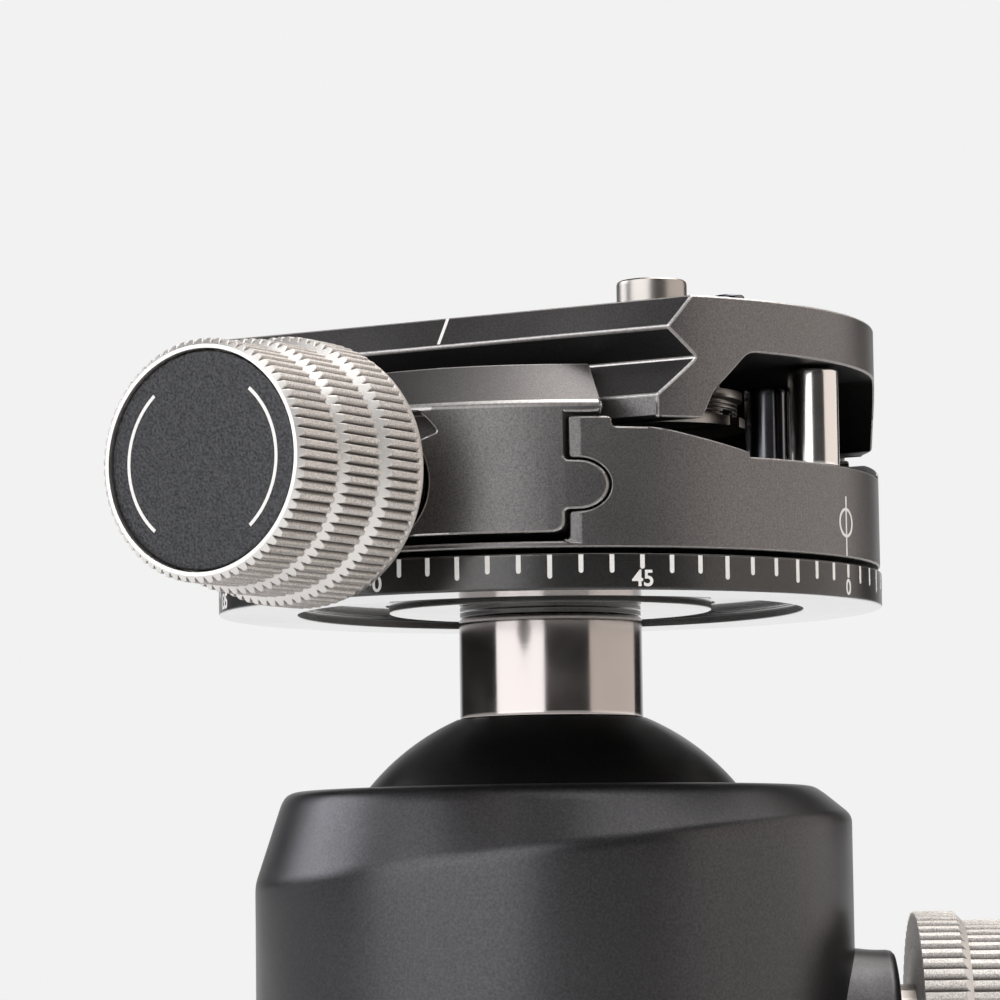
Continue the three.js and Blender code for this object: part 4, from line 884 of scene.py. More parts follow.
@dataclass
class LockKnobs:
    """The main lock's knob with its face ring and friction dial, and the small lock of the base."""

    start: float = 32.2
    length: float = 13.0
    radius: float = 13.0
    step: float = 0.8
    face: float = 9.7
    face_depth: float = 1.3
    dial: float = 5.0
    dial_height: float = 2.2
    screw: float = 4.0
    base_start: float = 28.0
    base_length: float = 9.0
    base_radius: float = 6.8

    def build(self) -> None:
        """Makes both locks."""
        third, end = self.length / 3, self.start + self.length
        bands = [Band(self.start + i * third, self.start + (i + 1) * third, self.radius - i * self.step,
                      self.radius - (i + 1) * self.step, 0.8) for i in range(3)]
        inner, outer, back = self.screw + 0.1, self.face + 0.4, end - self.face_depth
        core = turned(soften([(inner, self.start), (outer, self.start), (outer, back), (inner, back)], 0.2,
                             closed=True), SMALL_ROUND, closed=True)
        FlutedKnob("main_lock_knob", bands, self.face + 0.1, 1.2, 0.4, MAIN_LOCK).build(
            core, Body.MAIN_LOCK, "lock_knob")
        face, inner, outer = back + 0.05, self.dial + 0.3, self.face - 0.1
        lathe_piece("main_lock_face", [(inner, face), (outer, face), (outer, end - 0.1), (inner, end - 0.1)], 0.15,
                    Body.MAIN_LOCK, "black_anodised", CAP_BLACK, "lock_knob_face", MAIN_LOCK, closed=True)
        band = Band(face + 0.05, face + self.dial_height, self.dial, self.dial - 0.6, 0.6)
        dial = FlutedKnob("friction_dial_knob", [band], self.dial - 1.35, 0.9, 0.3, MAIN_LOCK)
        dial.build(dial.dish(self.dial - 1.3, 0.35), Body.FRICTION_STOP, "friction_dial")
        band = Band(self.base_start, self.base_start + self.base_length, self.base_radius, self.base_radius - 0.9, 0.8)
        rim = self.base_radius - 1.7
        small = FlutedKnob("base_lock_grip", [band], rim - 0.05, 1.0, 0.35, BASE_LOCK)
        small.build(small.dish(rim, 0.5), Body.BASE_LOCK, "base_lock_knob")


@dataclass
class BallAndStem:
    """The ball, its polished stem and the ring with the pan scale."""

    ball: float = 21.5
    stem: float = 8.3
    stem_top: float = -0.45
    neck: float = 5.0
    neck_top: float = 6.2
    ring: float = 30.0
    height: float = 3.08
    recess_outer: float = 22.9
    recess: float = 0.9
    hub: float = 14.6
    hub_rise: float = 0.1
    boss: float = 8.2
    boss_drop: float = 0.4
    edge: float = 0.16
    tick_width: float = 0.4
    short_tick: float = 1.55
    long_tick: float = 2.0
    number_tick: float = 1.2
    digit_height: float = 1.4
    tick_top: float = 2.95

    def build(self) -> None:
        """Makes the ball, the stem, the ring and its marks."""
        self.build_ball()
        foot = BALL_Z - RING_Z + math.sqrt(self.ball ** 2 - self.stem ** 2) - 0.25
        bore = self.neck + 0.1
        lathe_piece("polished_stem", [
            (0, foot - 6), (self.neck, foot - 6), (self.neck, foot), (self.stem, foot),
            (self.stem, self.stem_top), (self.neck, self.stem_top), (self.neck, self.neck_top), (0, self.neck_top),
        ], [0, 0.2, 0.1, 0.3, 0.35, 0.1, 0.2, 0], Body.BALL, "bright_steel", STEM_STEEL, "stem")
        ring = lathe_piece("scale_ring", [
            (bore, -self.boss_drop), (self.boss, -self.boss_drop), (self.boss, self.hub_rise),
            (self.hub, self.hub_rise), (self.hub, self.recess), (self.recess_outer, self.recess),
            (self.recess_outer, 0), (self.ring, 0), (self.ring, self.height), (bore, self.height),
        ], [0.1, 0.1, 0.15, 0.12, 0.3, 0.3, 0.12, self.edge, self.edge, 0.1], Body.BALL, "black_anodised",
            SCALE_BLACK, "pan_scale_ring", closed=True, steps=360)
        ring.data.materials.append(UNDER_BLACK.material())
        paint_faces(ring, facing(-2.0, -0.7))
        # a pale band round the ring's upper edge, a painted highlight
        lathe_piece("scale_ring_highlight_band", [
            (self.ring - 0.5, self.height - 0.02), (self.ring - self.edge, self.height + 0.005),
            (self.ring + 0.005, self.height - self.edge), (self.ring - 0.02, self.height - 0.3),
            (self.ring - 0.5, self.height - 0.3),
        ], 0.03, Body.BALL, "black_anodised", SCALE_HIGHLIGHT_GREY, closed=True, steps=360)
        self.build_marks()

    def build_ball(self) -> None:
        """Makes the ball: radius times (sin p, cos p) turned about Z, from the bore's edge to the lower pole."""
        bore = self.stem + 0.3
        angle = np.linspace(math.asin(bore / self.ball), np.pi, 96)
        skin = np.stack([self.ball * np.sin(angle), BALL_Z + self.ball * np.cos(angle)], -1)
        depth = skin[0, 1] - 1.2
        surface = turned(np.array([(0.0, depth), (bore, depth), *skin]))
        dress(bare_object("satin_ball", surface), Body.BALL, "satin_black", BALL_BLACK, node="ball", angle=50.0)

    def wrapped(self, flat: np.ndarray, degrees: float) -> np.ndarray:
        """Wraps points of a flat label round the ring.

        Args:
            flat: x along the rim, y up and z outwards, in millimetres.
            degrees: the label's place on the scale, which runs from +X towards -Y.

        Returns:
            Points at angle -degrees + x / radius and at radius + z.
        """
        return polar(self.ring + flat[:, 2], np.radians(-degrees) + flat[:, 0] / self.ring, RING_Z + flat[:, 1])

    def tick(self, degrees: float) -> Surface:
        """One painted line with a rounded foot, hanging from the ring's upper edge, longer at every fifteenth degree.

        Args:
            degrees: its place on the scale.

        Returns:
            The line's face and its sides, pressed round the ring.
        """
        length = self.number_tick if degrees % 45 == 0 else self.long_tick if degrees % 15 == 0 else self.short_tick
        half = self.tick_width / 2
        low = arc(half, (0, self.tick_top - length + half), 180, 360, 8)
        outline = np.array([(-half, self.tick_top), *low, (half, self.tick_top)])
        rows = [np.insert(outline * [wide, 1], 2, out, axis=1)
                for wide, out in ((1, MARK_FOOT), (1, MARK_RISE), (0, MARK_RISE))]
        made = grid_surface(np.stack(rows), wrap_columns=False)
        made.points = self.wrapped(made.points, degrees)
        return made

    def number(self, degrees: int) -> Surface:
        """One number of the scale as flat letters pressed round the ring."""
        curve = bpy.data.curves.new("number", "FONT")
        curve.body = str(degrees)
        curve.align_x = "CENTER"
        curve.size = self.digit_height * 1.36
        curve.extrude = 0.02
        curve.offset = 0.04
        curve.resolution_u = 6
        holder = bpy.data.objects.new("number", curve)
        bpy.context.scene.collection.objects.link(holder)
        graph = bpy.context.evaluated_depsgraph_get()
        graph.update()
        mesh = bpy.data.meshes.new_from_object(holder.evaluated_get(graph))
        mesh.calc_loop_triangles()
        flat = np.zeros(len(mesh.vertices) * 3, np.float32)
        mesh.vertices.foreach_get("co", flat)
        faces = np.zeros(len(mesh.loop_triangles) * 3, np.int32)
        mesh.loop_triangles.foreach_get("vertices", faces)
        bpy.data.objects.remove(holder)
        bpy.data.curves.remove(curve)
        bpy.data.meshes.remove(mesh)
        flat = flat.reshape(-1, 3).astype(float)
        flat[:, 0] -= (flat[:, 0].min() + flat[:, 0].max()) / 2
        flat[:, 1] += self.tick_top - self.number_tick - self.digit_height - 0.08 - flat[:, 1].min()
        flat[:, 2] = np.where(flat[:, 2] > 0, MARK_RISE, MARK_FOOT)
        return Surface(self.wrapped(flat, degrees), faces.reshape(-1, 3))

    def build_marks(self) -> None:
        """Makes the ticks every five degrees and the numbers every forty-five."""
        for name, made in (("scale_ticks", [self.tick(degrees) for degrees in range(0, 360, 5)]),
                           ("scale_numbers", [self.number(degrees) for degrees in range(0, 360, 45)])):
            painted(name, join(*made), Body.BALL, "black_anodised")


@dataclass
class Clamp:
    """The clamp's body with its fixed jaw, and the movable jaw that runs in it."""

    radius: float = 29.9
    bottom: float = 3.54
    channel_half: float = 12.6
    channel_edge: float = 11.95
    step_u: float = 22.75
    step_z: float = 13.74
    wing_top: float = 14.6
    pocket_back: float = 15.5
    pocket_x: float = 16.28
    pocket_floor: float = 4.1
    mouth_x: float = 17.24       # where the shallow facet at the pocket's mouth leaves the cylinder
    mouth_depth: float = 0.2
    rail: float = 19.8
    play: float = 0.3
    rail_top: float = 16.55
    rail_bottom: float = 14.6
    groove_u: float = 16.9
    groove_z: float = 19.8
    jaw_bottom: float = 4.84
    jaw_x: float = 16.0
    jaw_corner: float = 1.3
    lip_half_angle: float = 38.7
    lip_bottom: float = 14.95
    lip_edge: float = 15.8
    lip_top: float = 19.77
    lip_top_radius: float = 24.0
    lip_nose: float = 17.75
    fold: float = 0.45
    tongue_z: float = 8.86
    tongue_half: float = 2.06
    tongue_x: float = 19.05
    tongue_play: float = 0.2
    tongue_fillet: float = 0.4
    collar_bore: float = 5.3
    spindle_bore: tuple[float, float] = (3.1, 14.0)              # its radius and where it starts
    pan_bore: tuple[float, float] = (8.9, 6.1)
    pan_shaft: tuple[float, float] = (7.0, 0.0)
    lock_bore: tuple[float, float] = (1.75, 8.0)
    side_bores: tuple[tuple[str, float, float, float], ...] = (   # name, radius, bottom and distance
        ("post_hole", 1.7, 6, POST_X), ("pin_hole", 2.95, 10.25, PIN_X), ("spring_hole", 2.4, 4.4, PIN_X))
    spot_radius: float = 7.4
    spot_depth: float = 2.2
    spot_corner: tuple[float, float] = (6.1, 13.6)
    spot_slope: float = 0.37
    ring_mark_z: float = 6.6
    far: float = 40.0
    high: float = 22.0

    def flank(self, u: float) -> float:
        """Height of the line that runs beside the plate's lower groove flank, at the play's distance.

        The flank falls from the groove's bottom to the rail's upper edge: z = groove_z - (u - groove_u) fall / run.
        """
        run, fall = self.rail - self.groove_u, self.groove_z - self.rail_top
        return self.groove_z - (u - self.groove_u) * fall / run + self.play * math.hypot(run, fall) / run

    def lip_solid(self, foot: float, end_round: float) -> bpy.types.Object:
        """Makes a jaw's lip: a sector of a coned ring, hollowed beside the plate and rounded at its ends.

        Args:
            foot: height of its underside.
            end_round: how much the lower corner of each end is rounded.

        Returns:
            The lip on the side of -Y.
        """
        profile = soften([(0, foot), (self.radius, foot), (self.radius, self.lip_edge),
                          (self.lip_top_radius, self.lip_top), (0, self.lip_top)],
                         [0, 0, self.fold, 0, 0], steps=4)
        cheek = self.rail + self.play
        outside = np.array([
            (-cheek, foot - 1), (-cheek, self.flank(cheek)), (-self.lip_nose, self.flank(self.lip_nose)),
            (-self.lip_nose, self.high), (-self.far, self.high), (-self.far, foot - 1),
        ])
        half = math.radians(self.lip_half_angle)
        side = self.far * math.tan(half)
        low_x, top_x = self.radius * math.sin(half), self.lip_top_radius * math.sin(half)
        right = [(low_x, foot), (low_x, self.lip_edge), (top_x, self.lip_top), (top_x, self.high)]
        window = mirrored(right, [end_round, 0.9, 0.6, 0], 6)
        return combine(
            bare_object("lip", turned(profile, ENVELOPE).placed(upper())), Cut.KEEP_COMMON,
            prism("outside_plate", outside, -self.far, self.far, upper(turn=OUTLINE_YZ)),
            prism("sector", np.array([(0, 0), (-side, -self.far), (side, -self.far)]), foot - 1, self.high, upper()),
            prism("window", window, -self.far, 0, upper(turn=OUTLINE_XZ)),
        )

    def jaw_outline(self, half: float, low: float, high: float, play: float, corner: float) -> np.ndarray:
        """The outline of a block with a half-round tongue on each side, seen along Y.

        Args:
            half: half the block's width.
            low: its lower edge.
            high: its upper edge.
            play: how much larger the tongues are than the jaw's own.
            corner: how much the lower corners are rounded.

        Returns:
            The closed outline, with filleted inner corners beside the tongues.
        """
        bar = self.tongue_half + play
        curve = arc(bar, (self.tongue_x - self.tongue_half, self.tongue_z), -90, 90, 20)
        right = [(half, low), (half, self.tongue_z - bar), *curve, (half, self.tongue_z + bar), (half, high)]
        return mirrored(right, [corner, self.tongue_fillet, *[0.0] * len(curve), self.tongue_fillet, 0.0], 5)

    def on_fold(self, centres: np.ndarray, normals: np.ndarray) -> np.ndarray:
        """True for faces of the lips' rounded fold, which lie between the cylinder and the slope."""
        return ((np.abs(centres[:, 2] - RING_Z - self.lip_edge) < self.fold) & facing(0.1, 0.78)(centres, normals)
                & (np.hypot(centres[:, 0], centres[:, 1]) > self.radius - 0.6))

    def round_spot(self, centres: np.ndarray, normals: np.ndarray) -> np.ndarray:
        """True for faces round the relief behind the knob, which take the pale edge colour as painted highlight."""
        reach = np.hypot(centres[:, 0], centres[:, 2] - RING_Z - KNOB_Z)
        return (reach < self.spot_radius + 0.8) & (centres[:, 1] < -self.radius + self.spot_depth + 0.5)

    def in_channel(self, centres: np.ndarray, normals: np.ndarray) -> np.ndarray:
        """True for faces under the plate, between the rails and well inside the round outside, which take the painted
        shade.
        """
        return (np.abs(centres[:, 1]) < self.rail) & (np.hypot(centres[:, 0], centres[:, 1]) < self.radius - 0.5)

    def build_body(self) -> None:
        """Makes the body: a round block under a profile along X, cut by the jaw's pocket and the bores."""
        outline = mirrored([
            (self.far, self.bottom), (self.far, self.wing_top), (self.step_u, self.wing_top),
            (self.step_u, self.step_z), (self.rail, self.step_z), (self.channel_half, self.channel_edge),
            (self.channel_half, CHANNEL_Z),
        ], [0, 0, 0.25, 0.3, 0.8, 0, 0])
        body = rod("clamp_shell", self.radius, self.bottom, self.high, steps=ENVELOPE)
        combine(body, Cut.KEEP_COMMON, prism("outline", outline, -self.far, self.far, upper(turn=OUTLINE_YZ)))
        lip = self.lip_solid(self.step_z - self.play, 0.0)
        lip.data.transform(Matrix.Rotation(math.pi, 4, "Z"))
        combine(body, Cut.ADD, lip)
        pocket = self.jaw_outline(self.pocket_x, self.pocket_floor, self.high, self.tongue_play, 0.6)
        mouth_y = -math.sqrt(self.radius ** 2 - self.mouth_x ** 2)
        wall_y = -math.sqrt(self.radius ** 2 - self.pocket_x ** 2) + self.mouth_depth
        facet = np.array([(self.mouth_x, mouth_y), (self.pocket_x - 0.1, wall_y), (self.pocket_x - 0.1, -self.far),
                          (self.mouth_x, -self.far)])
        tools = [
            prism("pocket", pocket, -self.far, -self.pocket_back, upper(turn=OUTLINE_XZ)),
            prism("facet_right", facet, self.pocket_floor, self.high, upper()),
            prism("facet_left", facet * [-1, 1], self.pocket_floor, self.high, upper()),
            rod("pan_bore", *self.pan_bore, self.high), rod("pan_shaft", *self.pan_shaft, self.high),
            *[rod(name, radius, low, self.high, upper(side * x)) for side in (-1, 1)
              for name, radius, low, x in self.side_bores],
            rod("lock_bore", *self.lock_bore, self.far, PAN_LOCK),
        ]
        combine(body, Cut.TAKE_AWAY, *tools)
        tidy_solid(body)
        dress(body, Body.CLAMP, "grey_anodised", DARK_GREY, LIT_EDGE_GREY, SHADED_EDGE_GREY, PAINTED_SHADE_GREY, node="clamp_body",
              angle=30.0)
        # the lips' rounded fold takes the pale edge colour: bare metal, brightened as painted highlight
        paint_faces(body, self.on_fold)
        # faces in the channel under the plate take the darker grey as painted shade
        paint_faces(body, self.in_channel, 3)
        break_edges(body, -2.0, 0.5)

    def build_jaw(self) -> None:
        """Makes the movable jaw: its block with both tongues and the lip, cut by the collar's bore and a relief."""
        outline = self.jaw_outline(self.jaw_x, self.jaw_bottom, self.lip_bottom + 0.2, 0.0, self.jaw_corner)
        jaw = prism("moving_jaw_shell", outline, -self.far, -self.pocket_back - self.play, upper(turn=OUTLINE_XZ))
        cheek, foot = -self.rail - self.play, self.rail_bottom - self.play
        combine(jaw, Cut.TAKE_AWAY, block("rail_room", (-self.far, cheek, foot), (self.far, 0, self.high)))
        combine(jaw, Cut.KEEP_COMMON, rod("envelope", self.radius, 0, self.high, steps=ENVELOPE))
        combine(jaw, Cut.ADD, self.lip_solid(self.lip_bottom, 1.1))
        corner_x, corner_z = self.spot_corner
        crown = self.lip_edge - self.fold
        right = [(corner_x, corner_z), (self.spot_radius, corner_z + 0.4), (self.spot_radius, crown)]
        above = [(0, corner_z - self.spot_slope * corner_x), *right, *[(-x, z) for x, z in reversed(right)]]
        front = self.radius - self.spot_depth
        relief = rod("relief", self.spot_radius, front, self.far, CLAMP_KNOB)
        combine(relief, Cut.KEEP_COMMON, prism("above", np.array(above), -self.far, 0, upper(turn=OUTLINE_XZ)))
        combine(jaw, Cut.TAKE_AWAY, relief, rod("collar", self.collar_bore, front, self.far, CLAMP_KNOB),
                rod("bore", *self.spindle_bore, self.far, CLAMP_KNOB))
        tidy_solid(jaw)
        dress(jaw, Body.JAW, "grey_anodised", DARK_GREY, LIT_EDGE_GREY, SHADED_EDGE_GREY, node="movable_jaw", angle=30.0)
        # the lips' rounded fold takes the pale edge colour: bare metal, brightened as painted highlight
        paint_faces(jaw, self.on_fold)
        break_edges(jaw, -0.5, 0.4)
        # the chamfers round the relief get the pale edge colour back, as painted highlight
        paint_faces(jaw, self.round_spot, 1, only=2)

    def build_mark(self) -> None:
        """Makes the white zero mark: a line down to the body's lower edge with a small ring on it."""
        angle = np.linspace(0, 2 * np.pi, 48, endpoint=False)
        radii = np.array([[1.3], [1.3], [1.05], [1.05]])
        depth = np.array([[MARK_FOOT], [MARK_RISE], [MARK_RISE], [MARK_FOOT]])
        ring = grid_surface(polar(radii, angle, depth) + [0, self.ring_mark_z, 0], wrap_rows=True)
        line = np.array([[(x, z, MARK_RISE) for x in (-0.13, 0.13)] for z in (8.9, self.bottom + 0.15)])
        mark = join(ring, grid_surface(line, wrap_columns=False))
        across, up, out = mark.points.T
        mark.points = polar(self.radius + out, across / self.radius, RING_Z + up)
        painted("zero_mark", mark, Body.CLAMP, "grey_anodised")

    def build(self) -> None:
        """Makes the body, the jaw and the mark."""
        self.build_body()
        self.build_jaw()
        self.build_mark()


@dataclass
class ClampKnob:
    """The silver knob with its black cap, its collar and the spindle behind it."""

    face: float = 55.2
    cap: float = 8.8
    cap_sink: float = 0.25
    cap_thickness: float = 1.2
    cap_back: float = 53.4
    back: float = 38.9
    collar: float = 10.85
    collar_bore: float = 5.6
    collar_thickness: float = 0.85
    arc_radius: float = 7.1
    arc_width: float = 0.28
    arc_half_angle: float = 50.0
    arc_rise: float = 0.015
    foot: float = 39.9
    bore: float = 3.0
    well: float = 6.8            # round room in the knob's foot for the spindle's spring
    well_end: float = 47.0
    bands: tuple[Band, ...] = (Band(39.8, 44.8, 11.05, 10.2, 0.85), Band(44.6, 49.95, 10.35, 9.62, 0.9),
                               Band(49.8, 55.2, 9.78, 9.25, 0.5))
    spindle: tuple[tuple[float, float], ...] = (
        (0, 10), (3, 10), (3, 28.9), (4.8, 28.9), (4.8, 33.5), (5.3, 33.5), (5.3, 40), (6.6, 40), (6.6, 40.8),
        (2.8, 40.8), (2.8, 51.2), (0, 51.2))

    def build(self) -> None:
        """Makes the fluted shell, the cap with its two arcs, the collar and the spindle."""
        inside = self.cap + 0.3
        core = turned(soften([(self.bore, self.foot), (self.well, self.foot), (self.well, self.well_end),
                              (self.bore, self.well_end), (self.bore, self.cap_back), (inside, self.cap_back),
                              (inside, self.foot)], 0.1, closed=True), SMALL_ROUND, closed=True)
        FlutedKnob("clamp_knob_shell", self.bands, self.cap + 0.14, 0.86, 0.38, CLAMP_KNOB).build(
            core, Body.CLAMP_KNOB, "clamp_knob")
        top = self.face - self.cap_sink
        lathe_piece("clamp_knob_black_cap", [
            (0, top - self.cap_thickness), (self.cap, top - self.cap_thickness), (self.cap, top), (0, top),
        ], [0, 0.1, 0.22, 0], Body.CLAMP_KNOB, "black_anodised", CAP_BLACK, "clamp_knob_cap", CLAMP_KNOB)
        front = self.back + self.collar_thickness
        lathe_piece("clamp_knob_back_collar", [
            (self.collar_bore, self.back), (self.collar, self.back), (self.collar, front), (self.collar_bore, front),
        ], 0.25, Body.CLAMP_KNOB, "silver", SILVER_CUT, "clamp_knob_collar", CLAMP_KNOB, closed=True)
        self.build_arcs(top)
        lathe_piece("spindle_turned", self.spindle, 0.15, Body.SPINDLE, "plain_steel", PLAIN_STEEL, "jaw_spindle",
                    CLAMP_KNOB, steps=SMALL_ROUND)

    def build_arcs(self, top: float) -> None:
        """Makes two white arcs on the cap: radius (cos a, sin a), with a within the half angle of left and right."""
        radii = self.arc_radius + self.arc_width * np.array([[-0.5], [-0.5], [0.5], [0.5]])
        height = top + np.array([[MARK_FOOT], [self.arc_rise], [self.arc_rise], [MARK_FOOT]])
        arcs = [grid_surface(polar(radii, np.radians(np.linspace(middle - self.arc_half_angle,
                                                                 middle + self.arc_half_angle, 64)), height),
                             wrap_columns=False) for middle in (0.0, 180.0)]
        painted("cap_arcs", join(*arcs).placed(CLAMP_KNOB), Body.CLAMP_KNOB, "black_anodised")


@dataclass
class CameraPlate:
    """The dovetail plate with its pad, camera screw and stud."""

    radius: float = 29.7
    top: float = 25.1
    half: tuple[tuple[float, float], ...] = ((17.2, 25.1), (19.05, 22.3), (16.9, 19.8), (19.8, 16.55), (19.8, 14.6),
                                            (16.5, 14.6), (15.5, 17.0), (12.3, 20.5))  # half the profile, Y and Z
    crest: float = 0.26          # how much the groove's two crests are broken
    tick_width: float = 0.32
    slot_half: float = 3.475
    pad_recess: float = 0.7
    pad_proud: float = 0.3
    pad_half_width: float = 13.5
    pad_radius: float = 26.5
    pad_slot: tuple[float, float, float] = (-11.0, 16.6, 5.2)   # middles of its ends and half its width
    pad_edge: float = 0.12
    pad_play: float = 0.3
    screw_x: float = 11.0
    thread: float = 3.175
    thread_pitch: float = 1.27     # twenty threads to the inch
    thread_depth: float = 0.3
    tip: float = 29.45
    tip_chamfer: float = 0.4
    point: float = 2.6             # length of the plain point above the thread
    head_bottom: float = 15.8
    head_top: float = 19.1
    flange: float = 7.95
    barrel: float = 7.5
    foot: float = 8.2
    coin_half: float = 0.9         # half the width of its slot for a coin, and how deep that is
    coin_depth: float = 1.6
    stud_x: float = 18.8
    stud: float = 1.4
    stud_top: float = 27.5

    def slot(self, left: float, right: float, half: float) -> np.ndarray:
        """A slot's outline: two half circles joined by straight sides."""
        return np.concatenate([arc(half, (right, 0), -90, 90, 24), arc(half, (left, 0), 90, 270, 24)])

    def build_plate(self) -> None:
        """Makes the plate: its profile carried along X, kept within a cylinder, with the slot and pad's recess."""
        outline = mirrored(self.half, [0, self.crest, 0, self.crest * 0.7, 0.1, 0.3, 0.4, 0.8])
        plate = prism("plate_shell", outline, -40, 40, upper(turn=OUTLINE_YZ))
        combine(plate, Cut.KEEP_COMMON, rod("round", self.radius, 10, 30, steps=360))
        slot = prism("slot", self.slot(-self.screw_x, self.screw_x, self.slot_half), 15, 30, upper())
        combine(plate, Cut.TAKE_AWAY, slot, self.pad_room(), rod("stud_hole", self.stud + 0.1, 22.3, 30,
                                                                 upper(self.stud_x)))
        tidy_solid(plate, 0.02)
        dress(plate, Body.PLATE, "grey_anodised", DARK_GREY, LIT_EDGE_GREY, SHADED_EDGE_GREY, PAINTED_SHADE_GREY, node="camera_plate",
              angle=30.0)
        # the groove's broken crests take the pale edge colour as painted highlight
        paint_faces(plate, self.on_crest)
        # faces turned downwards take the darker grey as painted shade
        paint_faces(plate, facing(-2.0, -0.3), 3)
        break_edges(plate, -2.0, 0.12)

    def on_crest(self, centres: np.ndarray, normals: np.ndarray) -> np.ndarray:
        """True for the narrow faces that break the groove's upper and lower crests."""
        u, z = np.abs(centres[:, 1]), centres[:, 2] - RING_Z
        near = [np.hypot(u - crest_u, z - crest_z) < self.crest for crest_u, crest_z in (self.half[1], self.half[3])]
        return (near[0] | near[1]) & (np.abs(normals[:, 0]) < 0.1)

    def build_tick(self) -> None:
        """Makes the white middle mark: a thin strip down each bevel, at X = 0."""
        (top_u, top_z), (low_u, low_z) = self.half[0], self.half[1]
        normal = np.array([0, top_z - low_z, low_u - top_u]) / math.hypot(top_z - low_z, low_u - top_u)
        top, low = np.array([[0, top_u, top_z], [0, low_u, low_z]])
        line = top + np.array([[0.02], [0.9]]) * (low - top) + 0.015 * normal
        half = np.array([self.tick_width / 2, 0, 0])
        strip = grid_surface(np.stack([line - half, line + half]), wrap_columns=False)
        other = strip.placed(Place(np.diag([1.0, -1.0, 1.0]), (0.0, 0.0, 0.0)))
        painted("plate_ticks", join(strip, other).placed(upper()), Body.PLATE, "grey_anodised")

    def pad_room(self) -> bpy.types.Object:
        """The room cut for the pad: its outline grown by a play, from the recess's floor upwards."""
        play = self.pad_play
        low, high, side = self.top - self.pad_recess, 30, self.pad_half_width + play
        pad = rod("pad_room", self.pad_radius + play, low, high, steps=ROUND)
        combine(pad, Cut.KEEP_COMMON, block("sides", (-40, -side, 0), (40, side, 40)))
        left, right, half = self.pad_slot
        return combine(pad, Cut.TAKE_AWAY, prism("hole", self.slot(left, right, half - play), low - 1, high + 1,
                                                 upper()))

    def build_pad(self) -> None:
        """Makes the rubber pad between its heights, from its outer outline in to the slot's.

        Both outlines are met by rays from the slot's middle. The outer reach at angle a is the smaller of
        the flat side's, half width / |sin a|, and the circle's, which solves |middle + reach ray| = radius.
        The inner reach is that of the slot's straight sides, or of the circle at its nearer end.
        """
        low, high, edge = self.top - self.pad_recess + 0.05, self.top + self.pad_proud, self.pad_edge
        left, right, half = self.pad_slot
        middle, reach = (left + right) / 2, (right - left) / 2
        corner_x = math.sqrt(self.pad_radius ** 2 - self.pad_half_width ** 2)
        corner = math.atan2(self.pad_half_width, corner_x - middle)
        other = math.pi - math.atan2(self.pad_half_width, corner_x + middle)
        angle = np.sort(np.concatenate([np.linspace(0, 2 * np.pi, 360, endpoint=False),
                                        [corner, other, 2 * np.pi - corner, 2 * np.pi - other]]))
        x, side = np.cos(angle), np.maximum(np.abs(np.sin(angle)), 1e-6)
        circle = -middle * x + np.sqrt((middle * x) ** 2 - middle ** 2 + self.pad_radius ** 2)
        outer = np.minimum(circle, self.pad_half_width / side)
        end = reach * np.abs(x) + np.sqrt(np.maximum((reach * x) ** 2 - reach ** 2 + half ** 2, 0))
        inner = np.where(half / side * np.abs(x) < reach, half / side, end)
        reaches = [inner, inner, inner + edge * 0.3, inner + edge, outer - edge, outer - edge * 0.3, outer, outer]
        heights = [low, high - edge, high - edge * 0.3, high, high, high - edge * 0.3, high - edge, low]
        grid = polar(np.stack(reaches), angle, np.array(heights)[:, None]) + [middle, 0, 0]
        pad = bare_object("plate_rubber", grid_surface(grid, wrap_rows=True).placed(upper()))
        dress(pad, Body.PLATE, "rubber", RUBBER, node="plate_pad", angle=50.0)

    def build_screw(self) -> None:
        """Makes the camera screw: a grooved head, and a thread as rings one pitch apart."""
        low, high = self.head_bottom, self.head_top
        grooves = [(self.barrel - sink, low + 0.95 + i * 0.37 + rise) for i in range(4)
                   for sink, rise in ((0, 0), (0, 0.2), (0.3, 0.24), (0.3, 0.33))]
        head = [(0, low), (self.foot, low), (self.foot, low + 0.9), (self.barrel, low + 0.9), *grooves,
                (self.flange, high - 0.75), (self.flange, high), (3.1, high)]
        end = self.tip - self.point
        step = np.arange(int((end - high) / (self.thread_pitch / 2)) // 2 * 2)[::-1]
        wall = np.stack([self.thread - self.thread_depth * (step % 2), end - step * self.thread_pitch / 2], -1)
        tip = [(self.thread, end), (self.thread, self.tip), (0, self.tip)]
        profile = np.concatenate([soften(head, 0.07), wall, soften(tip, [0, self.tip_chamfer, 0], support=0.04)])
        screw = bare_object("camera_screw_turned", turned(profile, SMALL_ROUND * 2).placed(upper(self.screw_x)))
        combine(screw, Cut.TAKE_AWAY, block("coin_slot", (self.screw_x - 12, -self.coin_half, low - 1),
                                            (self.screw_x + 12, self.coin_half, low + self.coin_depth)))
        dress(screw, Body.CAMERA_SCREW, "bright_steel", BRIGHT_NICKEL, node="camera_screw", angle=30.0)

    def build(self) -> None:
        """Makes the plate, its marks, the pad, the screw and the stud."""
        self.build_plate()
        self.build_tick()
        self.build_pad()
        self.build_screw()
        lathe_piece("twist_stud", [(0, 22.4), (self.stud, 22.4), (self.stud, self.stud_top), (0, self.stud_top)],
                    [0, 0.1, 0.3, 0], Body.PLATE, "black_steel", BLACK_STEEL, "anti_twist_stud",
                    upper(self.stud_x), steps=SMALL_ROUND)


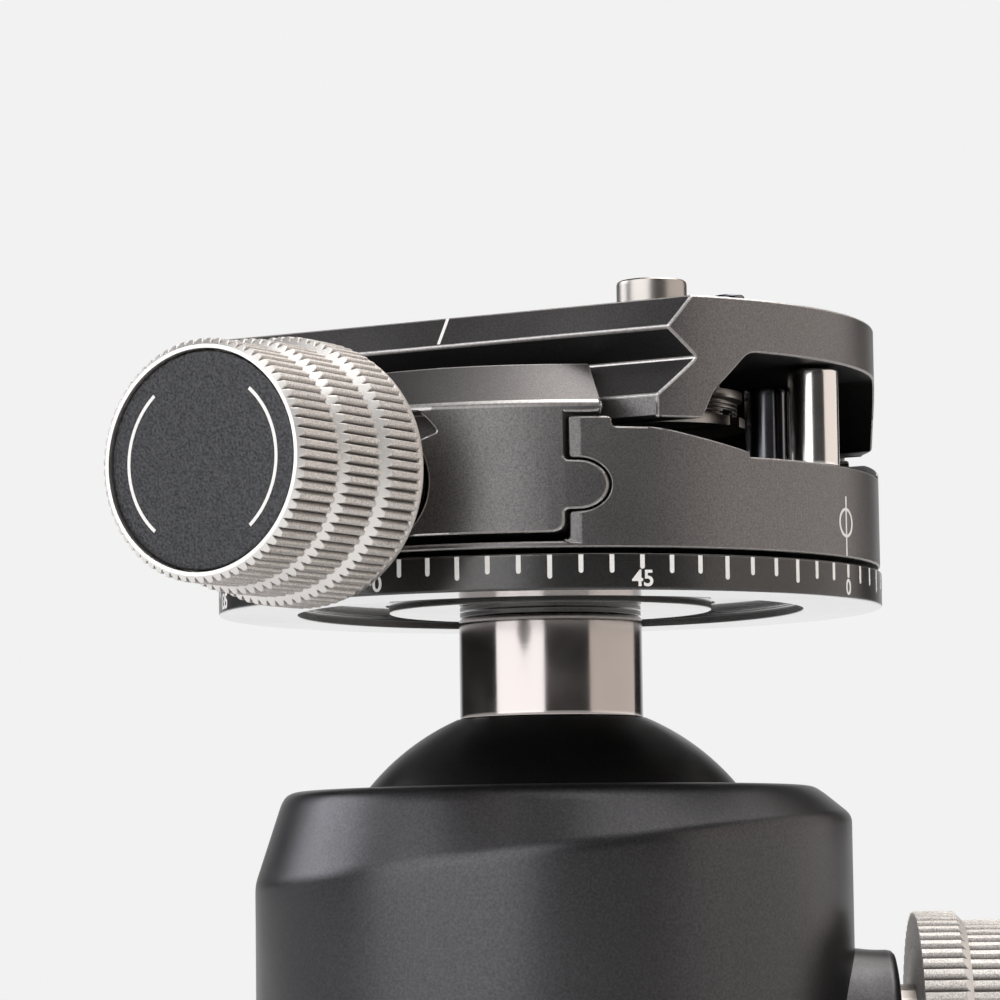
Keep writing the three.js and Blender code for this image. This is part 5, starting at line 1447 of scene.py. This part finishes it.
@dataclass
class StopPieces:
    """The chrome posts and the black sprung pins at both ends of the channel, and the lock of the top pan."""

    post: float = 2.25
    post_foot: float = 1.6
    post_bottom: float = 6.6
    post_top: float = 20.2
    pin: float = 1.8
    pin_flange: float = 2.3
    pin_bottom: float = 9.3
    pin_shoulder: float = 10.1
    pin_top: float = 18.9
    lock_start: float = 30.6
    lock_length: float = 8.4
    lock_radius: float = 5.0

    def build(self) -> None:
        """Makes both posts, both pins and the small knob."""
        rest = CHANNEL_Z + 0.05
        for side, sign, body in (("left", -1, Body.PIN_LEFT), ("right", 1, Body.PIN_RIGHT)):
            lathe_piece(f"post_{side}", [
                (0, self.post_bottom), (self.post_foot, self.post_bottom), (self.post_foot, rest), (self.post, rest),
                (self.post, self.post_top), (0, self.post_top),
            ], [0, 0.2, 0.05, 0.2, 0.3, 0], Body.CLAMP, "bright_steel", CHROME, f"stop_post_{side}",
                upper(sign * POST_X), steps=SMALL_ROUND)
            lathe_piece(f"pin_{side}", [
                (0, self.pin_bottom), (self.pin_flange, self.pin_bottom), (self.pin_flange, self.pin_shoulder),
                (self.pin, self.pin_shoulder), (self.pin, self.pin_top), (0, self.pin_top),
            ], [0, 0.1, 0.1, 0.05, 0.45, 0], body, "black_steel", BLACK_STEEL, f"safety_pin_{side}",
                upper(sign * PIN_X), steps=SMALL_ROUND)
        band = Band(self.lock_start, self.lock_start + self.lock_length, self.lock_radius, self.lock_radius - 0.8, 0.7)
        knob = FlutedKnob("pan_lock_grip", [band], self.lock_radius - 1.45, 0.95, 0.3,
                          PAN_LOCK)
        knob.build(knob.dish(self.lock_radius - 1.4, 0.45), Body.PAN_LOCK, "pan_lock_knob")


# The studio

@dataclass(frozen=True)
class Softbox:
    """A rectangular lamp that looks at the clamp and that the camera doesn't see.

    Its azimuth is counted in degrees from +X and its elevation above the clamp. Its distance, width and height
    are metres. Its power is pi times its face's radiance times its area.
    """

    name: str
    azimuth: float
    elevation: float
    distance: float
    width: float
    height: float
    radiance: float
    colour: str

    def build(self) -> None:
        """Makes the lamp."""
        light = bpy.data.lights.new(self.name, "AREA")
        light.shape = "RECTANGLE"
        light.size, light.size_y = self.width, self.height
        light.energy = math.pi * self.radiance * self.width * self.height
        light.color = linear(self.colour)[:3]
        a, e = math.radians(self.azimuth), math.radians(self.elevation)
        away = Vector((math.cos(e) * math.cos(a), math.cos(e) * math.sin(a), math.sin(e)))
        holder = bpy.data.objects.new(self.name, light)
        holder.location = Vector((0, 0, 0.09)) + self.distance * away
        holder.rotation_euler = (-away).to_track_quat("-Z", "Y").to_euler()
        holder.visible_camera = False
        bpy.context.scene.collection.objects.link(holder)


@dataclass
class Studio:
    """The camera at the photograph's angle, the floor, the backdrop and the soft light."""

    eye: tuple[float, float, float] = (182.628, -316.321, 52.04)
    forward: tuple[float, float, float] = (-0.50823, 0.85611, 0.09368)
    up: tuple[float, float, float] = (0.05883, -0.07401, 0.99552)
    lens: float = 145.11
    background: str = "#f2f2f2"
    near: float = 0.25           # metres from the head where the floor starts to glow
    far: float = 0.75            # and where it is as pale as the background
    backdrop: tuple[float, float, float] = (-0.5, 0.866, 0.0)  # from the head towards the backdrop
    lamps: tuple[Softbox, ...] = (
        Softbox("left softbox", -100, 15, 0.9, 1.15, 0.95, 3.1, "#fbfcff"),
        Softbox("right softbox", 29, 14, 0.8, 1.35, 0.75, 1.25, "#fff6f0"),
        Softbox("rear softbox", 84, 60, 0.8, 0.55, 0.5, 3.4, "#fffbf8"),
        Softbox("overhead softbox", 10, 76, 0.8, 0.8, 0.6, 3.6, "#ffffff"),
        Softbox("side softbox", -168, 22, 0.8, 0.45, 0.42, 5.0, "#f6f8ff"),
    )

    def build(self) -> None:
        """Makes the camera, the floor, the world and the softboxes."""
        scene = bpy.context.scene
        camera = bpy.data.cameras.new("camera")
        camera.lens = self.lens
        camera.sensor_width = 36.0
        camera.clip_start = 0.01
        holder = bpy.data.objects.new("camera", camera)
        back = -Vector(self.forward).normalized()
        right = Vector(self.up).normalized().cross(back).normalized()
        turn = Matrix((right, back.cross(right), back)).transposed().to_4x4()
        holder.matrix_world = Matrix.Translation(Vector(self.eye) * MM) @ turn
        scene.collection.objects.link(holder)
        scene.camera = holder
        self.build_floor()
        self.build_world(scene)
        for lamp in self.lamps:
            lamp.build()
        scene.view_settings.view_transform = "Standard"

    def build_floor(self) -> None:
        """Makes a wide pale floor just under the base.

        Camera rays see its own pale colour with the head's shadow on it, and away from the head they see
        the backdrop's colour. Reflections see the dim floor near the head and the pale backdrop far from it.
        """
        size = 6000.0
        grid = np.array([[(x, y, 0) for x in (-size, size)] for y in (-size, size)])
        floor = bare_object("floor", grid_surface(grid, wrap_columns=False))
        made = bpy.data.materials.new("pale floor")
        made.use_nodes = True
        tree = made.node_tree
        pale = linear(self.background)
        shader = tree.nodes["Principled BSDF"]
        feed(tree, shader, {"Base Color": pale, "Roughness": 0.9})
        place = add_node(tree, "TexCoord").outputs["Object"]
        reach = add_node(tree, "VectorMath", {"operation": "LENGTH"}, {0: place})
        away = add_node(tree, "MapRange", {"interpolation_type": "SMOOTHSTEP"},
                        {0: reach, "From Min": self.near, "From Max": self.far})
        path = add_node(tree, "LightPath")
        seen = add_node(tree, "MapRange", None, {0: away, "To Min": 0.6, "To Max": 1.0})
        camera = add_node(tree, "Math", {"operation": "MULTIPLY"}, {0: path.outputs["Is Camera Ray"], 1: seen})
        mirrored = add_node(tree, "Math", {"operation": "MULTIPLY"}, {0: path.outputs["Is Glossy Ray"], 1: away})
        share = add_node(tree, "Math", {"operation": "MAXIMUM"}, {0: camera, 1: mirrored})
        glow = add_node(tree, "Emission", None, {"Color": pale})
        mix = add_node(tree, "MixShader", None, {0: share, 1: shader, 2: glow})
        feed(tree, tree.nodes["Material Output"], {"Surface": mix})
        floor.data.materials.append(made)

    def build_world(self, scene: bpy.types.Scene) -> None:
        """Makes a world that is pale to the camera, with a pale backdrop in reflections behind the head.

        The backdrop's share in a reflection rises with the cosine between the ray and its direction.
        """
        world = bpy.data.worlds.new("studio")
        world.use_nodes = True
        tree = world.node_tree
        tree.nodes.clear()
        path = add_node(tree, "LightPath").outputs
        seen = add_node(tree, "Math", {"operation": "MAXIMUM"},
                        {0: path["Is Camera Ray"], 1: path["Is Transmission Ray"]})
        ray = add_node(tree, "TexCoord").outputs["Object"]
        toward = add_node(tree, "VectorMath", {"operation": "DOT_PRODUCT"}, {0: ray, 1: self.backdrop})
        behind = add_node(tree, "MapRange", {"interpolation_type": "SMOOTHSTEP"},
                          {0: toward, "From Min": 0.84, "From Max": 0.98})
        mirrored = add_node(tree, "Math", {"operation": "MULTIPLY"}, {0: path["Is Glossy Ray"], 1: behind})
        share = add_node(tree, "Math", {"operation": "MAXIMUM"}, {0: seen, 1: mirrored})
        soft = add_node(tree, "Background", None, {"Color": linear("#ffffff"), "Strength": 0.03})
        pale = add_node(tree, "Background", None, {"Color": linear(self.background), "Strength": 1.0})
        mix = add_node(tree, "MixShader", None, {0: share, 1: soft, 2: pale})
        add_node(tree, "OutputWorld", None, {"Surface": mix})
        scene.world = world


def main() -> None:
    """Builds every sub-assembly in order."""
    logging.basicConfig(level=logging.INFO, format="%(name)s: %(message)s")
    for part in (InnerPieces, Base, Housing, LockKnobs, BallAndStem, Clamp, ClampKnob, CameraPlate, StopPieces, Studio):
        part().build()


if __name__ == "__main__":
    main()
